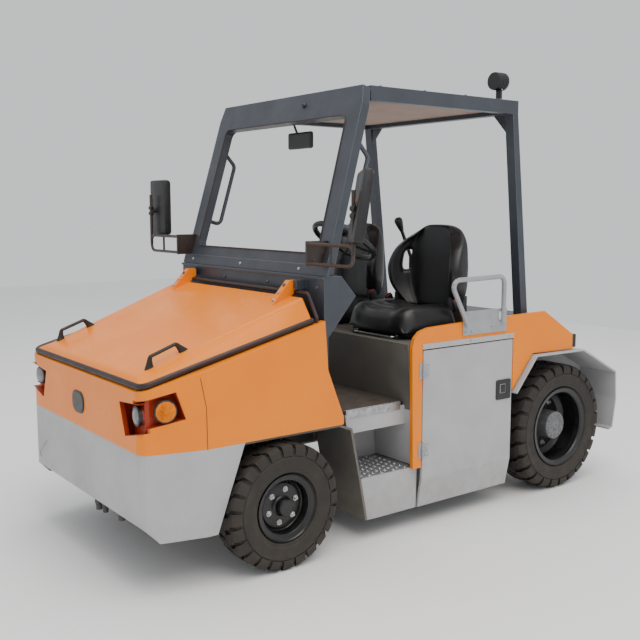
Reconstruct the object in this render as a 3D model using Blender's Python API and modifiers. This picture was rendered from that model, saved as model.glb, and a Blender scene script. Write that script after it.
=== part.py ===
"""Airport baggage tug: an electric tow tractor with an open two-seat cab.

Metres, +Z up. The nose points along -Y and the driver's side is +X. Lengths along the
vehicle are measured from the front axle, and the empty called vehicle moves them so that
the origin lies on the ground under the middle of the whole machine.
"""

import math

import bmesh
import bpy
from mathutils import Matrix, Vector

# ---------------------------------------------------------------- driving dimensions
WHEELBASE = 1.895
AXLE_TO_MIDDLE = 0.900
GAP = 0.0003  # between pieces that touch
SHEET = 0.020  # folded body panels
PLATE = 0.012  # bumper, steps and liners
LEDGE = 0.036  # width of the flange that the lid's seal stands on

HALF_WIDTH = 0.676
NOSE_HALF_WIDTH = 0.610
NOSE_Y = -0.639
SEAM_Y = -0.377  # where nose and front fenders meet
BUMPER_TOP_Z = 0.600
NOSE_TOP_Z = 0.8555
SHOULDER_SLOPE = 0.262  # rise of the nose and fender tops towards the rear
FENDER_REAR_Y = 0.2275

BONNET_FRONT = (-0.600, 0.905)  # y and z of the lid's top, front and rear
BONNET_REAR = (0.178, 1.184)
BONNET_OPEN_GAP = 0.019  # between the body and the lid, filled by the rubber seal
BONNET_PIVOT = (0.195, 1.236)
HINGE_X = 0.475

CAB_HALF_WIDTH = 0.601
ROOF_Z = 2.130
SCREEN_TOP_Y = 0.499
SCREEN_FOOT_Z = 1.275
SCREEN_LEAN = 0.290  # y for each z, up the windscreen
PILLAR_DEPTH = 0.045
PILLAR_HALF_WIDTH = 0.640  # outside the pillars, at their foot
POST_TOP_Y = 1.510
POST_LEAN = -0.1035
TUBE = 0.045

FLOOR_Z = 0.630
SEAT_BOX_TOP = (0.742, 0.925)  # y and z of its leaning front edge
SEAT_BOX_LEAN = -0.0975  # y for each z, up the front
SEAT_BOX_REAR_Y = 1.420
DECK_Z = 1.000
BODY_REAR_Y = 1.975
STEP_Z = 0.310
STEP_INNER_X = 0.354
LIP_X = 0.602
SILL_Z = 0.100
SKIRT_HALF_WIDTH = 0.6475
BEND_Z = 0.244
DOOR_Y = (0.826, 1.470)
DOOR_TOP_Z = 0.890
DOOR_HINGE = (0.684, 0.822)

SEAT_X = 0.330
WHEEL_CENTRE = (SEAT_X, 0.607, 1.415)
COLUMN_TILT = math.radians(33)
MIRROR_X = 0.920
OVERALL_HALF_WIDTH = 0.987

FRONT_TYRE = dict(radius=0.283, width=0.175, flange=0.150, outer_x=0.713)
REAR_TYRE = dict(radius=0.353, width=0.222, flange=0.222, outer_x=0.6815)
KINGPIN_X = 0.600

SIDES = {"left": 1, "right": -1}


# ---------------------------------------------------------------- scene and materials
def clear_scene():
    for thing in list(bpy.data.objects):
        bpy.data.objects.remove(thing)


def collection(name):
    made = bpy.data.collections.new(name)
    bpy.context.scene.collection.children.link(made)
    return made


def material(name, colour, roughness, metallic=0.0):
    made = bpy.data.materials.new(name)
    made.use_nodes = True
    made.diffuse_color = (*colour, 1)
    shader = made.node_tree.nodes["Principled BSDF"]
    shader.inputs["Base Color"].default_value = (*colour, 1)
    shader.inputs["Roughness"].default_value = roughness
    shader.inputs["Metallic"].default_value = metallic
    return made


clear_scene()
PARTS = collection("baggage_tug")
CUTTERS = collection("cutters")
VEHICLE = bpy.data.objects.new("vehicle", None)
VEHICLE.location = (0, -AXLE_TO_MIDDLE, 0)
PARTS.objects.link(VEHICLE)

ORANGE = material("orange_paint", (0.90, 0.32, 0.06), 0.40)
GREY = material("grey_paint", (0.42, 0.42, 0.42), 0.45)
CHARCOAL = material("charcoal_paint", (0.075, 0.085, 0.10), 0.45)
BLACK = material("black_paint", (0.02, 0.02, 0.02), 0.35)
DARK = material("dark_brown_paint", (0.05, 0.045, 0.04), 0.60)
RUBBER = material("tyre_rubber", (0.03, 0.028, 0.026), 0.85)
VINYL = material("black_vinyl", (0.018, 0.018, 0.02), 0.55)
STEEL = material("zinc_steel", (0.55, 0.56, 0.57), 0.35, 0.9)
LINER = material("tan_liner", (0.30, 0.16, 0.09), 0.80)
PLASTIC = material("black_plastic", (0.015, 0.015, 0.016), 0.50)
RED_LENS = material("red_lens", (0.35, 0.02, 0.02), 0.20)


# ---------------------------------------------------------------- ways to make a shape
def keep(name, mesh, look, pivot=(0, 0, 0)):
    """An object from a mesh in vehicle coordinates, with its origin at the pivot."""
    mesh.transform(Matrix.Translation(-Vector(pivot)))
    mesh.name = name
    mesh.materials.clear()
    mesh.materials.append(look)
    made = bpy.data.objects.new(name, mesh)
    made.location = pivot
    made.parent = VEHICLE
    PARTS.objects.link(made)
    return made


def helper(mesh):
    """A Boolean's second body, which isn't part of the model."""
    made = bpy.data.objects.new("helper", mesh)
    made.parent = VEHICLE
    made.hide_render = True
    made.display_type = "WIRE"
    CUTTERS.objects.link(made)
    return made


def combine(body, mesh, operation):
    step = body.modifiers.new(operation.lower(), "BOOLEAN")
    step.operation = operation
    step.solver = "EXACT"
    step.object = helper(mesh)
    return body


def fuse(body, *meshes):
    for mesh in meshes:
        combine(body, mesh, "UNION")
    return body


def cut(body, *meshes):
    for mesh in meshes:
        combine(body, mesh, "DIFFERENCE")
    return body


def trim(body, mesh):
    return combine(body, mesh, "INTERSECT")


def mesh_of(work):
    made = bpy.data.meshes.new("shape")
    bmesh.ops.recalc_face_normals(work, faces=work.faces)
    work.to_mesh(made)
    work.free()
    return made


def box(low, high):
    work = bmesh.new()
    bmesh.ops.create_cube(work, size=1)
    low, high = Vector(low), Vector(high)
    bmesh.ops.scale(work, vec=high - low, verts=work.verts)
    bmesh.ops.translate(work, vec=(low + high) / 2, verts=work.verts)
    return mesh_of(work)


def soft_box(low, high, radius, segments=2):
    work = bmesh.new()
    work.from_mesh(box(low, high))
    bmesh.ops.bevel(
        work, geom=work.edges, offset=radius, segments=segments, affect="EDGES", profile=0.5
    )
    return mesh_of(work)


def from_curve(curve, turn=None):
    """A closed mesh from a curve, its caps welded to its sides."""
    guide = bpy.data.objects.new("guide", curve)
    CUTTERS.objects.link(guide)
    graph = bpy.context.evaluated_depsgraph_get()
    mesh = bpy.data.meshes.new_from_object(guide.evaluated_get(graph))
    bpy.data.objects.remove(guide)
    work = bmesh.new()
    work.from_mesh(mesh)
    bmesh.ops.remove_doubles(work, verts=work.verts, dist=1e-5)
    if turn:
        bmesh.ops.transform(work, matrix=turn, verts=work.verts)
    return mesh_of(work)


PLANES = {  # the outline's two directions, then the way it is extruded
    "X": Matrix(((0, 0, 1, 0), (1, 0, 0, 0), (0, 1, 0, 0), (0, 0, 0, 1))),
    "Y": Matrix(((1, 0, 0, 0), (0, 0, -1, 0), (0, 1, 0, 0), (0, 0, 0, 1))),
    "Z": Matrix.Identity(4),
}


def prism(outline, axis, start, end):
    """A flat outline extruded along axis: its points are (y, z), (x, z) or (x, y)."""
    curve = bpy.data.curves.new("outline", "CURVE")
    curve.dimensions = "2D"
    curve.fill_mode = "BOTH"
    curve.extrude = abs(end - start) / 2
    spline = curve.splines.new("POLY")
    spline.points.add(len(outline) - 1)
    for point, (a, b) in zip(spline.points, outline):
        point.co = (a, b, 0, 1)
    spline.use_cyclic_u = True
    shift = [0, 0, 0]
    shift["XYZ".index(axis)] = (start + end) / 2
    return from_curve(curve, Matrix.Translation(shift) @ PLANES[axis])


def tube(points, radius, resolution=2):
    curve = bpy.data.curves.new("tube", "CURVE")
    curve.dimensions = "3D"
    curve.bevel_depth = radius
    curve.bevel_resolution = resolution
    curve.use_fill_caps = True
    spline = curve.splines.new("POLY")
    spline.points.add(len(points) - 1)
    for point, place in zip(spline.points, points):
        point.co = (*place, 1)
    return from_curve(curve)


def cylinder(start, end, radius, sides=24):
    start, end = Vector(start), Vector(end)
    work = bmesh.new()
    bmesh.ops.create_cone(
        work, cap_ends=True, segments=sides, radius1=radius, radius2=radius,
        depth=(end - start).length,
    )
    turn = Vector((0, 0, 1)).rotation_difference(end - start).to_matrix().to_4x4()
    bmesh.ops.transform(
        work, matrix=Matrix.Translation((start + end) / 2) @ turn, verts=work.verts
    )
    return mesh_of(work)


def turned(name, profile, centre, look, side, steps, closed=True):
    """A profile of (radius, distance outwards) turned about the wheel's own axis."""
    work = bmesh.new()
    made = [work.verts.new((radius, 0, out)) for radius, out in profile]
    for first, second in zip(made, made[1:] + made[:1] if closed else made[1:]):
        work.edges.new((first, second))
    mesh = bpy.data.meshes.new(name)
    work.to_mesh(mesh)
    work.free()
    mesh.materials.append(look)
    wheel = bpy.data.objects.new(name, mesh)
    wheel.parent = VEHICLE
    wheel.location = centre
    wheel.rotation_euler = (0, side * math.pi / 2, 0)
    PARTS.objects.link(wheel)
    screw = wheel.modifiers.new("turn", "SCREW")
    screw.steps = screw.render_steps = steps
    screw.use_merge_vertices = True
    screw.merge_threshold = 0.00005
    return wheel


def mirrored(points, side):
    return [(side * x, *rest) for x, *rest in points]


def strip(path, thickness):
    """The closed outline of a folded sheet whose outer face follows the path."""
    path = [Vector(point) for point in path]
    inner = []
    for i, point in enumerate(path):
        before = (point - path[i - 1]).normalized() if i else None
        after = (path[i + 1] - point).normalized() if i + 1 < len(path) else None
        before, after = before or after, after or before
        normal = Vector((-before.y, before.x)) + Vector((-after.y, after.x))
        normal.normalize()
        spread = normal.dot(Vector((-before.y, before.x)))
        inner.append(point - normal * thickness / spread)
    return [tuple(point) for point in path + inner[::-1]]


def rounded(points, radius, steps=4):
    """A route through the points with its inner corners turned into arcs."""
    points = [Vector(point) for point in points]
    route = [points[0]]
    for before, corner, after in zip(points, points[1:], points[2:]):
        to_before, to_after = (before - corner).normalized(), (after - corner).normalized()
        half = to_before.angle(to_after) / 2
        back = radius / math.tan(half)
        centre = corner + (to_before + to_after).normalized() * radius / math.sin(half)
        start = (corner + to_before * back - centre).normalized()
        end = (corner + to_after * back - centre).normalized()
        for i in range(steps + 1):
            route.append(centre + start.slerp(end, i / steps) * radius)
    return [tuple(point) for point in route + [points[-1]]]


def rounded_rectangle(low, high, radius, steps=4):
    """The four corners in order, each an arc."""
    outline = []
    for i, (x, y) in enumerate([(high[0], high[1]), (low[0], high[1]), low, (high[0], low[1])]):
        centre = (x - math.copysign(radius, x - (low[0] + high[0]) / 2),
                  y - math.copysign(radius, y - (low[1] + high[1]) / 2))
        for j in range(steps + 1):
            angle = math.pi / 2 * (i + j / steps)
            outline.append((centre[0] + radius * math.cos(angle),
                            centre[1] + radius * math.sin(angle)))
    return outline


# ---------------------------------------------------------------- body shell
def shoulder_z(y):
    """Height of the nose and fender tops."""
    return NOSE_TOP_Z + SHOULDER_SLOPE * (y - NOSE_Y)


def plan_shell(rear_y, thickness):
    """The nose seen from above, as a wall that is open at the rear."""
    outside = [
        (-HALF_WIDTH, rear_y),
        (-HALF_WIDTH, SEAM_Y),
        *rounded([(-HALF_WIDTH, SEAM_Y), (-NOSE_HALF_WIDTH, NOSE_Y), (0, NOSE_Y)], 0.050, 3)[1:-1],
        *rounded([(0, NOSE_Y), (NOSE_HALF_WIDTH, NOSE_Y), (HALF_WIDTH, SEAM_Y)], 0.050, 3)[1:-1],
        (HALF_WIDTH, SEAM_Y),
        (HALF_WIDTH, rear_y),
    ]
    return strip(outside, -thickness)


def raised_to_shoulder(mesh):
    """Moves a level mesh so that its z = 0 plane follows the shoulder line."""
    shear = Matrix.Identity(4)
    shear[2][1] = SHOULDER_SLOPE
    shear[2][3] = shoulder_z(0)
    mesh.transform(shear)
    return mesh


def make_bumper():
    profile = [
        (NOSE_Y - 0.01, 0.303),
        (NOSE_Y, 0.303),
        (-0.570, 0.231),
        (-0.330, 0.231),
        (-0.194, BUMPER_TOP_Z),
        (NOSE_Y - 0.01, BUMPER_TOP_Z),
    ]
    bumper = keep("front_bumper", prism(plan_shell(-0.180, PLATE), "Z", 0.2, 0.65), GREY)
    trim(bumper, prism(profile, "X", -0.7, 0.7))
    slot = prism(rounded_rectangle((-0.016, -0.075), (0.016, 0.075), 0.015), "Y", -0.02, 0.004)
    slot.transform(Matrix.Translation((-0.496, NOSE_Y, 0.390)) @ Matrix.Rotation(0.92, 4, "Y"))
    cut(bumper, slot)


def make_nose():
    profile = [
        (NOSE_Y - 0.01, BUMPER_TOP_Z + GAP),
        (SEAM_Y - GAP, BUMPER_TOP_Z + GAP),
        (SEAM_Y - GAP, shoulder_z(SEAM_Y)),
        (NOSE_Y - 0.01, shoulder_z(NOSE_Y - 0.01)),
    ]
    nose = keep("nose_panel", prism(plan_shell(-0.300, SHEET), "Z", 0.5, 1.0), ORANGE)
    flange = prism(plan_shell(-0.300, LEDGE), "Z", -0.0065, -0.0005)
    fuse(nose, raised_to_shoulder(flange))
    trim(nose, prism(profile, "X", -0.7, 0.7))
    for side in SIDES.values():
        front = [(0.468, 0.656), (0.680, 0.706), (0.680, 0.817), (0.420, 0.793)]
        flank = [(-0.670, 0.697), (-0.458, 0.735), (-0.496, 0.850), (-0.670, 0.812)]
        cut(nose, prism(mirrored(front, side), "Y", -0.70, -0.60))
        cut(nose, prism(flank, "X", *sorted((side * 0.55, side * 0.70))))


def make_lamp_cluster(side, name):
    """Pocket wall with the headlamp and the round indicator on it, one moulded piece."""
    wall = strip([(0.400, -0.575), (0.585, -0.606), (0.596, -0.592), (0.583, -0.440)], -PLATE)
    cluster = keep(name, prism(mirrored(wall, side), "Z", 0.645, 0.845), ORANGE)
    fuse(
        cluster,
        cylinder((side * 0.548, -0.595, 0.752), (side * 0.545, -0.622, 0.752), 0.040, 20),
        cylinder((side * 0.585, -0.530, 0.775), (side * 0.640, -0.541, 0.775), 0.046, 20),
    )


def box_between(first, second):
    low = [min(pair) for pair in zip(first, second)]
    high = [max(pair) for pair in zip(first, second)]
    return box(low, high)


def make_front_fender(side, name):
    outline = [
        (SEAM_Y, BUMPER_TOP_Z + GAP),
        (0.334, BUMPER_TOP_Z + GAP),
        (0.334, 0.634),
        (0.244, 0.861),
        (FENDER_REAR_Y, shoulder_z(FENDER_REAR_Y)),
        (SEAM_Y, shoulder_z(SEAM_Y)),
    ]
    inner, outer = side * (HALF_WIDTH - SHEET), side * HALF_WIDTH
    fender = keep(name, prism(outline, "X", *sorted((inner, outer))), ORANGE)
    flange = box_between((side * (HALF_WIDTH - LEDGE), SEAM_Y, -0.0065),
                         (inner + side * 0.001, FENDER_REAR_Y, -0.0005))
    fuse(fender, raised_to_shoulder(flange))


def make_wheel_liner(side, name):
    path = [(-0.300, 0.595), (0.330, 0.595), (0.405, 0.565), (0.459, 0.311), (0.500, 0.105)]
    outline = strip(path, PLATE)
    ends = sorted((side * 0.360, side * 0.650))
    keep(name, prism(outline, "X", *ends), DARK)


def make_bonnet():
    """A folded lid: a sloping top, three sloping sides and an open underside."""
    def frustum(inset, drop):
        front_y, front_z = BONNET_FRONT
        rear_y, rear_z = BONNET_REAR
        top = [(0.500 - inset, front_y + inset, front_z - inset),
               (0.577 - inset, rear_y - inset, rear_z - inset)]
        seal = [(0.600 - inset, front_y - 0.024 + inset), (0.648 - inset, rear_y - inset)]
        low = [(x, y, shoulder_z(y) + BONNET_OPEN_GAP - drop) for x, y in seal]
        work = bmesh.new()
        rings = []
        for corners in (low, top):
            front, rear = corners
            ring = [front, rear, (-rear[0], *rear[1:]), (-front[0], *front[1:])]
            rings.append([work.verts.new(point) for point in ring])
        work.faces.new(rings[0])
        work.faces.new(rings[1][::-1])
        for i in range(4):
            j = (i + 1) % 4
            work.faces.new((rings[0][i], rings[1][i], rings[1][j], rings[0][j]))
        if not inset:
            folds = [edge for edge in work.edges if not set(edge.verts) <= set(rings[0])]
            bmesh.ops.bevel(work, geom=folds, offset=0.010, segments=2, affect="EDGES",
                            profile=0.5)
        return mesh_of(work)

    bonnet = keep("bonnet", frustum(0, 0), ORANGE, (0, *BONNET_PIVOT))
    cut(bonnet, frustum(SHEET, 0.03))
    arm = [(0.060, 1.136), (0.165, 1.170), (0.212, 1.217), (0.212, 1.252), (0.168, 1.252)]
    for side in SIDES.values():
        ends = sorted((side * (HINGE_X - 0.020), side * (HINGE_X + 0.016)))
        fuse(bonnet, prism(arm, "X", *ends))


def make_bonnet_handle(side, name):
    x = side * 0.490
    slope = (BONNET_REAR[1] - BONNET_FRONT[1]) / (BONNET_REAR[0] - BONNET_FRONT[0])
    up = Vector((0, -slope, 1)).normalized()
    feet = [Vector((x, y, BONNET_FRONT[1] + slope * (y - BONNET_FRONT[0]))) for y in (-0.536, -0.378)]
    front, rear = [foot + up * 0.0005 for foot in feet]
    inwards = (rear - front).normalized() * 0.022
    path = rounded([front, front + up * 0.010, front + inwards + up * 0.042,
                    rear - inwards + up * 0.042, rear + up * 0.010, rear], 0.008)
    keep(name, tube(path, 0.008), PLASTIC)


def make_cowl():
    """Bolted sheet box between bonnet and windscreen, with the dashboard as its rear face."""
    outline = [
        (0.240, FLOOR_Z + 0.005),
        (0.262, FLOOR_Z + 0.005),
        (0.262, 1.000),
        (0.420, 1.180),
        (0.335, SCREEN_FOOT_Z - GAP),
        (0.232, SCREEN_FOOT_Z - GAP),
        (0.232, SCREEN_FOOT_Z - 0.012),
        (0.240, SCREEN_FOOT_Z - 0.012),
    ]
    cowl = keep("cowl", prism(outline, "X", -0.652, 0.652), CHARCOAL)
    for side in SIDES.values():
        inner, outer = side * (HINGE_X + 0.022), side * (HINGE_X + 0.045)
        fuse(cowl, box_between((inner, 0.182, 1.215), (outer, 0.245, 1.255)))


def make_windscreen_frame():
    height = (ROOF_Z - SCREEN_FOOT_Z) * math.hypot(1, SCREEN_LEAN)
    rise = height / (ROOF_Z - SCREEN_FOOT_Z)
    foot, shoulder = PILLAR_HALF_WIDTH, PILLAR_HALF_WIDTH - 0.018
    outline = [(-foot, 0), (foot, 0), (shoulder, height - 0.085), (CAB_HALF_WIDTH, height),
               (-CAB_HALF_WIDTH, height), (-shoulder, height - 0.085)]
    low_z, high_z = (1.372 - SCREEN_FOOT_Z) * rise, (2.000 - SCREEN_FOOT_Z) * rise
    middle = (low_z + high_z) / 2
    opening = [(x * (1 - 0.055 * (z - middle)), z)
               for x, z in rounded_rectangle((-0.538, low_z), (0.538, high_z), 0.035)]
    lean = Matrix.Rotation(-math.atan(SCREEN_LEAN), 4, "X")
    foot_y = SCREEN_TOP_Y - SCREEN_LEAN * (ROOF_Z - SCREEN_FOOT_Z)
    place = Matrix.Translation((0, foot_y, SCREEN_FOOT_Z)) @ lean
    plate = prism(outline, "Y", 0, PILLAR_DEPTH)
    plate.transform(place)
    hole = prism(opening, "Y", -0.05, PILLAR_DEPTH + 0.05)
    hole.transform(place)
    flange = box((-0.660, -0.004, 0), (0.660, 0.008, (1.322 - SCREEN_FOOT_Z) * rise))
    flange.transform(place)
    frame = keep("windscreen_frame", plate, CHARCOAL)
    fuse(frame, flange)
    cut(frame, hole, box((-1, 0, 1.1), (1, 1, SCREEN_FOOT_Z)), box((-1, 0, ROOF_Z), (1, 1, 2.3)))


def screen_back_y(z):
    """The rear face of the windscreen frame."""
    front = SCREEN_TOP_Y - SCREEN_LEAN * (ROOF_Z - z)
    return front + PILLAR_DEPTH * math.hypot(1, SCREEN_LEAN)


def make_roof_frame():
    """Side rails, rear cross-member and the two rear posts, welded into one."""
    low_z = 2.062
    rail_start = screen_back_y(ROOF_Z) + GAP
    frame = keep("roof_frame", box((-CAB_HALF_WIDTH, 1.500, low_z),
                                   (CAB_HALF_WIDTH, 1.552, ROOF_Z)), CHARCOAL)
    foot_z = DECK_Z + GAP
    for side in SIDES.values():
        inner, outer = side * (CAB_HALF_WIDTH - TUBE), side * CAB_HALF_WIDTH
        post_in = side * (CAB_HALF_WIDTH - 0.056)
        top_y, foot_y = POST_TOP_Y, POST_TOP_Y + POST_LEAN * (foot_z - 2.08)
        post = [(top_y, 2.08), (foot_y, foot_z), (foot_y + 0.049, foot_z), (top_y + 0.040, 2.08)]
        gusset = [(post_in + side * 0.004, 1.966), (post_in + side * 0.004, 2.07),
                  (side * 0.450, 2.07)]
        fuse(
            frame,
            box_between((inner, rail_start, low_z), (outer, 1.53, ROOF_Z)),
            prism(post, "X", *sorted((post_in, outer))),
            prism(gusset, "Y", 1.522, 1.534),
        )


def make_roof_panel():
    edge = CAB_HALF_WIDTH - TUBE - GAP
    front, rear = screen_back_y(ROOF_Z) + GAP, 1.500 - GAP
    keep("roof_panel", box((-edge, front, 2.085), (edge, rear, 2.110)), LINER)


def seat_box_front_y(z):
    """The leaning wall under the seats, which also closes the steps at the rear."""
    return SEAT_BOX_TOP[0] + SEAT_BOX_LEAN * (z - SEAT_BOX_TOP[1])


def make_floor():
    edge, rear = LIP_X - PLATE - GAP, seat_box_front_y(FLOOR_Z) - GAP
    keep("floor_plate", box((-edge, 0.263, FLOOR_Z - 0.025), (edge, rear, FLOOR_Z)), BLACK)


def make_step(side, name):
    """Skirt, tread and the riser up to the floor, one welded sheet."""
    path = [(LIP_X, FLOOR_Z - 0.013), (LIP_X, 0.525), (STEP_INNER_X, 0.500),
            (STEP_INNER_X, STEP_Z), (SKIRT_HALF_WIDTH, STEP_Z),
            (SKIRT_HALF_WIDTH - 0.004, SILL_Z)]
    outline = strip(path, PLATE)
    step = keep(name, prism(mirrored(outline, side), "Y", 0.38, 0.817), GREY)
    wheel_side = [(0.30, 0.70), (0.398, 0.62), (0.462, 0.307), (0.514, 0.05), (0.30, 0.05)]
    cut(step, prism(wheel_side, "X", *sorted((0.0, side * 0.8))))
    wall_y = seat_box_front_y(STEP_Z) - GAP
    seat_box_side = [(seat_box_front_y(0.70) - GAP, 0.70), (wall_y, STEP_Z),
                     (wall_y, STEP_Z - 0.002), (0.900, STEP_Z - 0.002), (0.900, 0.70)]
    cut(step, prism(seat_box_side, "X", *sorted((0.0, side * 0.8))))


def make_seat_box():
    low_z, top_z = STEP_Z + GAP, SEAT_BOX_TOP[1]
    path = [(seat_box_front_y(low_z), low_z), SEAT_BOX_TOP, (SEAT_BOX_REAR_Y, top_z),
            (SEAT_BOX_REAR_Y, 0.605)]
    seat_box = keep("seat_box", prism(strip(path, SHEET), "X", -0.652, 0.652), DARK)
    inner = STEP_INNER_X - PLATE
    cut(seat_box, box((-inner, 0.70, 0.20), (inner, 0.90, FLOOR_Z - 0.026)))


def make_side_panel(side, name):
    outline = [
        (0.765, 0.310),
        (0.752, 0.905),
        (0.766, 0.955),
        (0.800, 0.985),
        (0.860, 1.000),
        (1.107, 1.009),
        (1.727, 1.021),
        (BODY_REAR_Y, 0.873),
        (BODY_REAR_Y, 0.790),
        (1.636, 0.797),
        (1.430, 0.562),
        (1.430, 0.310),
    ]
    inner, outer = side * (HALF_WIDTH - SHEET), side * HALF_WIDTH
    panel = keep(name, prism(outline, "X", *sorted((inner, outer))), ORANGE)
    doorway = box_between((side * 0.5, 0.820, 0.0), (side * 0.8, 1.476, DOOR_TOP_Z + 0.006))
    cut(panel, doorway)


def make_side_door(side, name):
    path = [(HALF_WIDTH, DOOR_TOP_Z), (HALF_WIDTH, BEND_Z), (SKIRT_HALF_WIDTH, SILL_Z)]
    outline = strip(path, 0.014)
    pivot = (side * DOOR_HINGE[0], DOOR_HINGE[1], 0)
    keep(name, prism(mirrored(outline, side), "Y", *DOOR_Y), GREY, pivot)


def make_rear_deck():
    path = [(SEAT_BOX_REAR_Y + GAP, DECK_Z), (1.727, DECK_Z), (BODY_REAR_Y - 0.003, 0.856),
            (BODY_REAR_Y - 0.003, 0.580)]
    edge = HALF_WIDTH - SHEET - GAP
    deck = keep("rear_deck", prism(strip(path, SHEET), "X", -edge, edge), CHARCOAL)
    for side in SIDES.values():
        cut(deck, box_between((side * 0.438, 1.40, 0.4), (side * 0.8, 2.1, 0.815)))


def make_mudguard(side, name):
    """A folded band over the rear tyre with a flat inner wall."""
    band = [(1.480, 0.603), (1.642, 0.790), (2.050, 0.783), (2.364, 0.622), (2.376, 0.458),
            (2.349, 0.284), (2.315, 0.276)]
    wall = [*band, (2.200, 0.276), (2.100, 0.560), (1.895, 0.640), (1.690, 0.560),
            (1.560, 0.440), (1.480, 0.440)]
    ends = sorted((side * 0.442, side * 0.702))
    guard = keep(name, prism(strip(band, 0.010), "X", *ends), GREY)
    fuse(guard, prism(wall, "X", *sorted((side * 0.442, side * 0.4515))))


# ---------------------------------------------------------------- chassis and running gear
def make_chassis():
    chassis = keep("chassis_frame", box((-0.340, 2.285, 0.330), (0.340, 2.310, 0.640)), BLACK)
    for side in SIDES.values():
        rail = box_between((side * 0.280, -0.610, 0.440), (side * 0.340, 2.300, 0.560))
        fuse(chassis, rail)
    for y in (-0.600, 0.420, 1.000, 1.500, 2.150):
        fuse(chassis, box((-0.300, y, 0.450), (0.300, y + 0.050, 0.550)))


def make_rear_hitch():
    """A pin coupling: two jaws on a plate, with the pin and its ring handle."""
    hitch = keep("rear_hitch", box((-0.080, 2.3103, 0.360), (0.080, 2.325, 0.560)), BLACK)
    jaw = rounded([(-0.060, 2.320), (-0.060, 2.439), (0.060, 2.439), (0.060, 2.320)], 0.030)
    for low_z in (0.400, 0.495):
        fuse(hitch, prism([point[:2] for point in jaw], "Z", low_z, low_z + 0.022))
    fuse(hitch, cylinder((0, 2.400, 0.385), (0, 2.400, 0.600), 0.012, 16))


def make_front_axle():
    radius = FRONT_TYRE["radius"]
    axle = keep("front_axle", box((-0.500, -0.045, radius - 0.045),
                                  (0.500, 0.045, radius + 0.045)), BLACK)
    for side in SIDES.values():
        yoke = box_between((side * 0.495, -0.020, radius - 0.090),
                           (side * 0.520, 0.020, radius + 0.090))
        fuse(axle, yoke)
        for low in (-0.090, 0.068):
            ear = box_between((side * 0.510, -0.020, radius + low),
                              (side * (KINGPIN_X + 0.016), 0.020, radius + low + 0.022))
            fuse(axle, ear)
        seat = box_between((side * 0.290, -0.045, radius + 0.040),
                           (side * 0.330, 0.045, 0.440 - GAP))
        fuse(axle, seat)


def make_knuckle(side, name):
    radius = FRONT_TYRE["radius"]
    x = side * KINGPIN_X
    pin = cylinder((x, 0, radius - 0.062), (x, 0, radius + 0.062), 0.020, 20)
    spindle = cylinder((x, 0, radius), (side * 0.641, 0, radius), 0.028, 20)
    fuse(keep(name, pin, BLACK, (x, 0, radius)), spindle)


def make_rear_axle():
    radius = REAR_TYRE["radius"]
    axle = keep("rear_axle", cylinder((-0.505, WHEELBASE, radius), (0.505, WHEELBASE, radius),
                                      0.055, 20), BLACK)
    case = cylinder((-0.11, WHEELBASE, radius), (0.11, WHEELBASE, radius), 0.130, 20)
    motor = cylinder((0, WHEELBASE - 0.420, radius), (0, WHEELBASE, radius), 0.085, 20)
    fuse(axle, case, motor)
    for side in SIDES.values():
        fuse(axle, box_between((side * 0.285, WHEELBASE - 0.05, radius + 0.03),
                               (side * 0.335, WHEELBASE + 0.05, 0.440 - GAP)))


def tyre_profile(radius, width, flange, **_):
    """Bead, sidewall, shoulder and tread, down one side and up the other."""
    half = width / 2
    one = [
        (flange - 0.020, half - 0.027),
        (flange + 0.003, half - 0.023),
        (flange + 0.008, half - 0.004),
        (flange + (radius - flange) * 0.40, half),
        (radius - 0.035, half - 0.004),
        (radius - 0.010, half - 0.018),
        (radius, half - 0.036),
    ]
    return [(r, out) for r, out in one] + [(r, -out) for r, out in one[::-1]]


def front_rim_profile(width, flange, **_):
    """Hub cap, dished disc, outer flange, barrel, inner flange and the back of the disc."""
    half = width / 2
    edge = half - 0.006
    seat = flange - 0.0215
    return [
        (0.0, half - 0.010),
        (0.040, half - 0.012),
        (0.046, half - 0.050),
        (0.095, half - 0.050),
        (0.110, half - 0.062),
        (seat - 0.008, half - 0.020),
        (flange, edge),
        (flange, edge - 0.010),
        (seat, edge - 0.017),
        (seat, -edge + 0.017),
        (flange, -edge + 0.010),
        (flange, -edge),
        (seat - 0.008, -edge + 0.008),
        (seat - 0.008, half - 0.080),
        (0.110, half - 0.080),
        (0.040, half - 0.066),
        (0.0, half - 0.066),
    ]


def rear_rim_profile(width, flange, **_):
    """A deep dish with the reduction hub standing out of its middle."""
    half = width / 2
    edge = half - 0.006
    seat = flange - 0.0215
    return [
        (0.0, half - 0.040),
        (0.078, half - 0.040),
        (0.080, half - 0.150),
        (0.165, half - 0.155),
        (seat - 0.012, half - 0.130),
        (seat - 0.010, half - 0.022),
        (flange, edge),
        (flange, edge - 0.010),
        (seat, edge - 0.017),
        (seat, -edge + 0.017),
        (flange, -edge + 0.010),
        (flange, -edge),
        (seat - 0.010, -edge + 0.008),
        (seat - 0.010, half - 0.165),
        (0.120, half - 0.168),
        (0.0, half - 0.168),
    ]


def make_wheels():
    for side_name, side in SIDES.items():
        for end, tyre, y, steps in (("front", FRONT_TYRE, 0, 36), ("rear", REAR_TYRE, WHEELBASE, 40)):
            centre = (side * (tyre["outer_x"] - tyre["width"] / 2), y, tyre["radius"])
            make_rim = front_rim_profile if end == "front" else rear_rim_profile
            rim = turned(f"{end}_rim_{side_name}", make_rim(**tyre), centre, BLACK, side, 32,
                         closed=False)
            ring = turned(f"{end}_tyre_{side_name}", tyre_profile(**tyre), centre, RUBBER,
                          side, steps)
            for wheel in (rim, ring):
                wheel.data.shade_smooth()


# ---------------------------------------------------------------- cab fittings
def make_battery():
    keep("battery_block", box((-0.330, -0.500, 0.5603), (0.330, 0.160, 0.860)), DARK)


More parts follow.
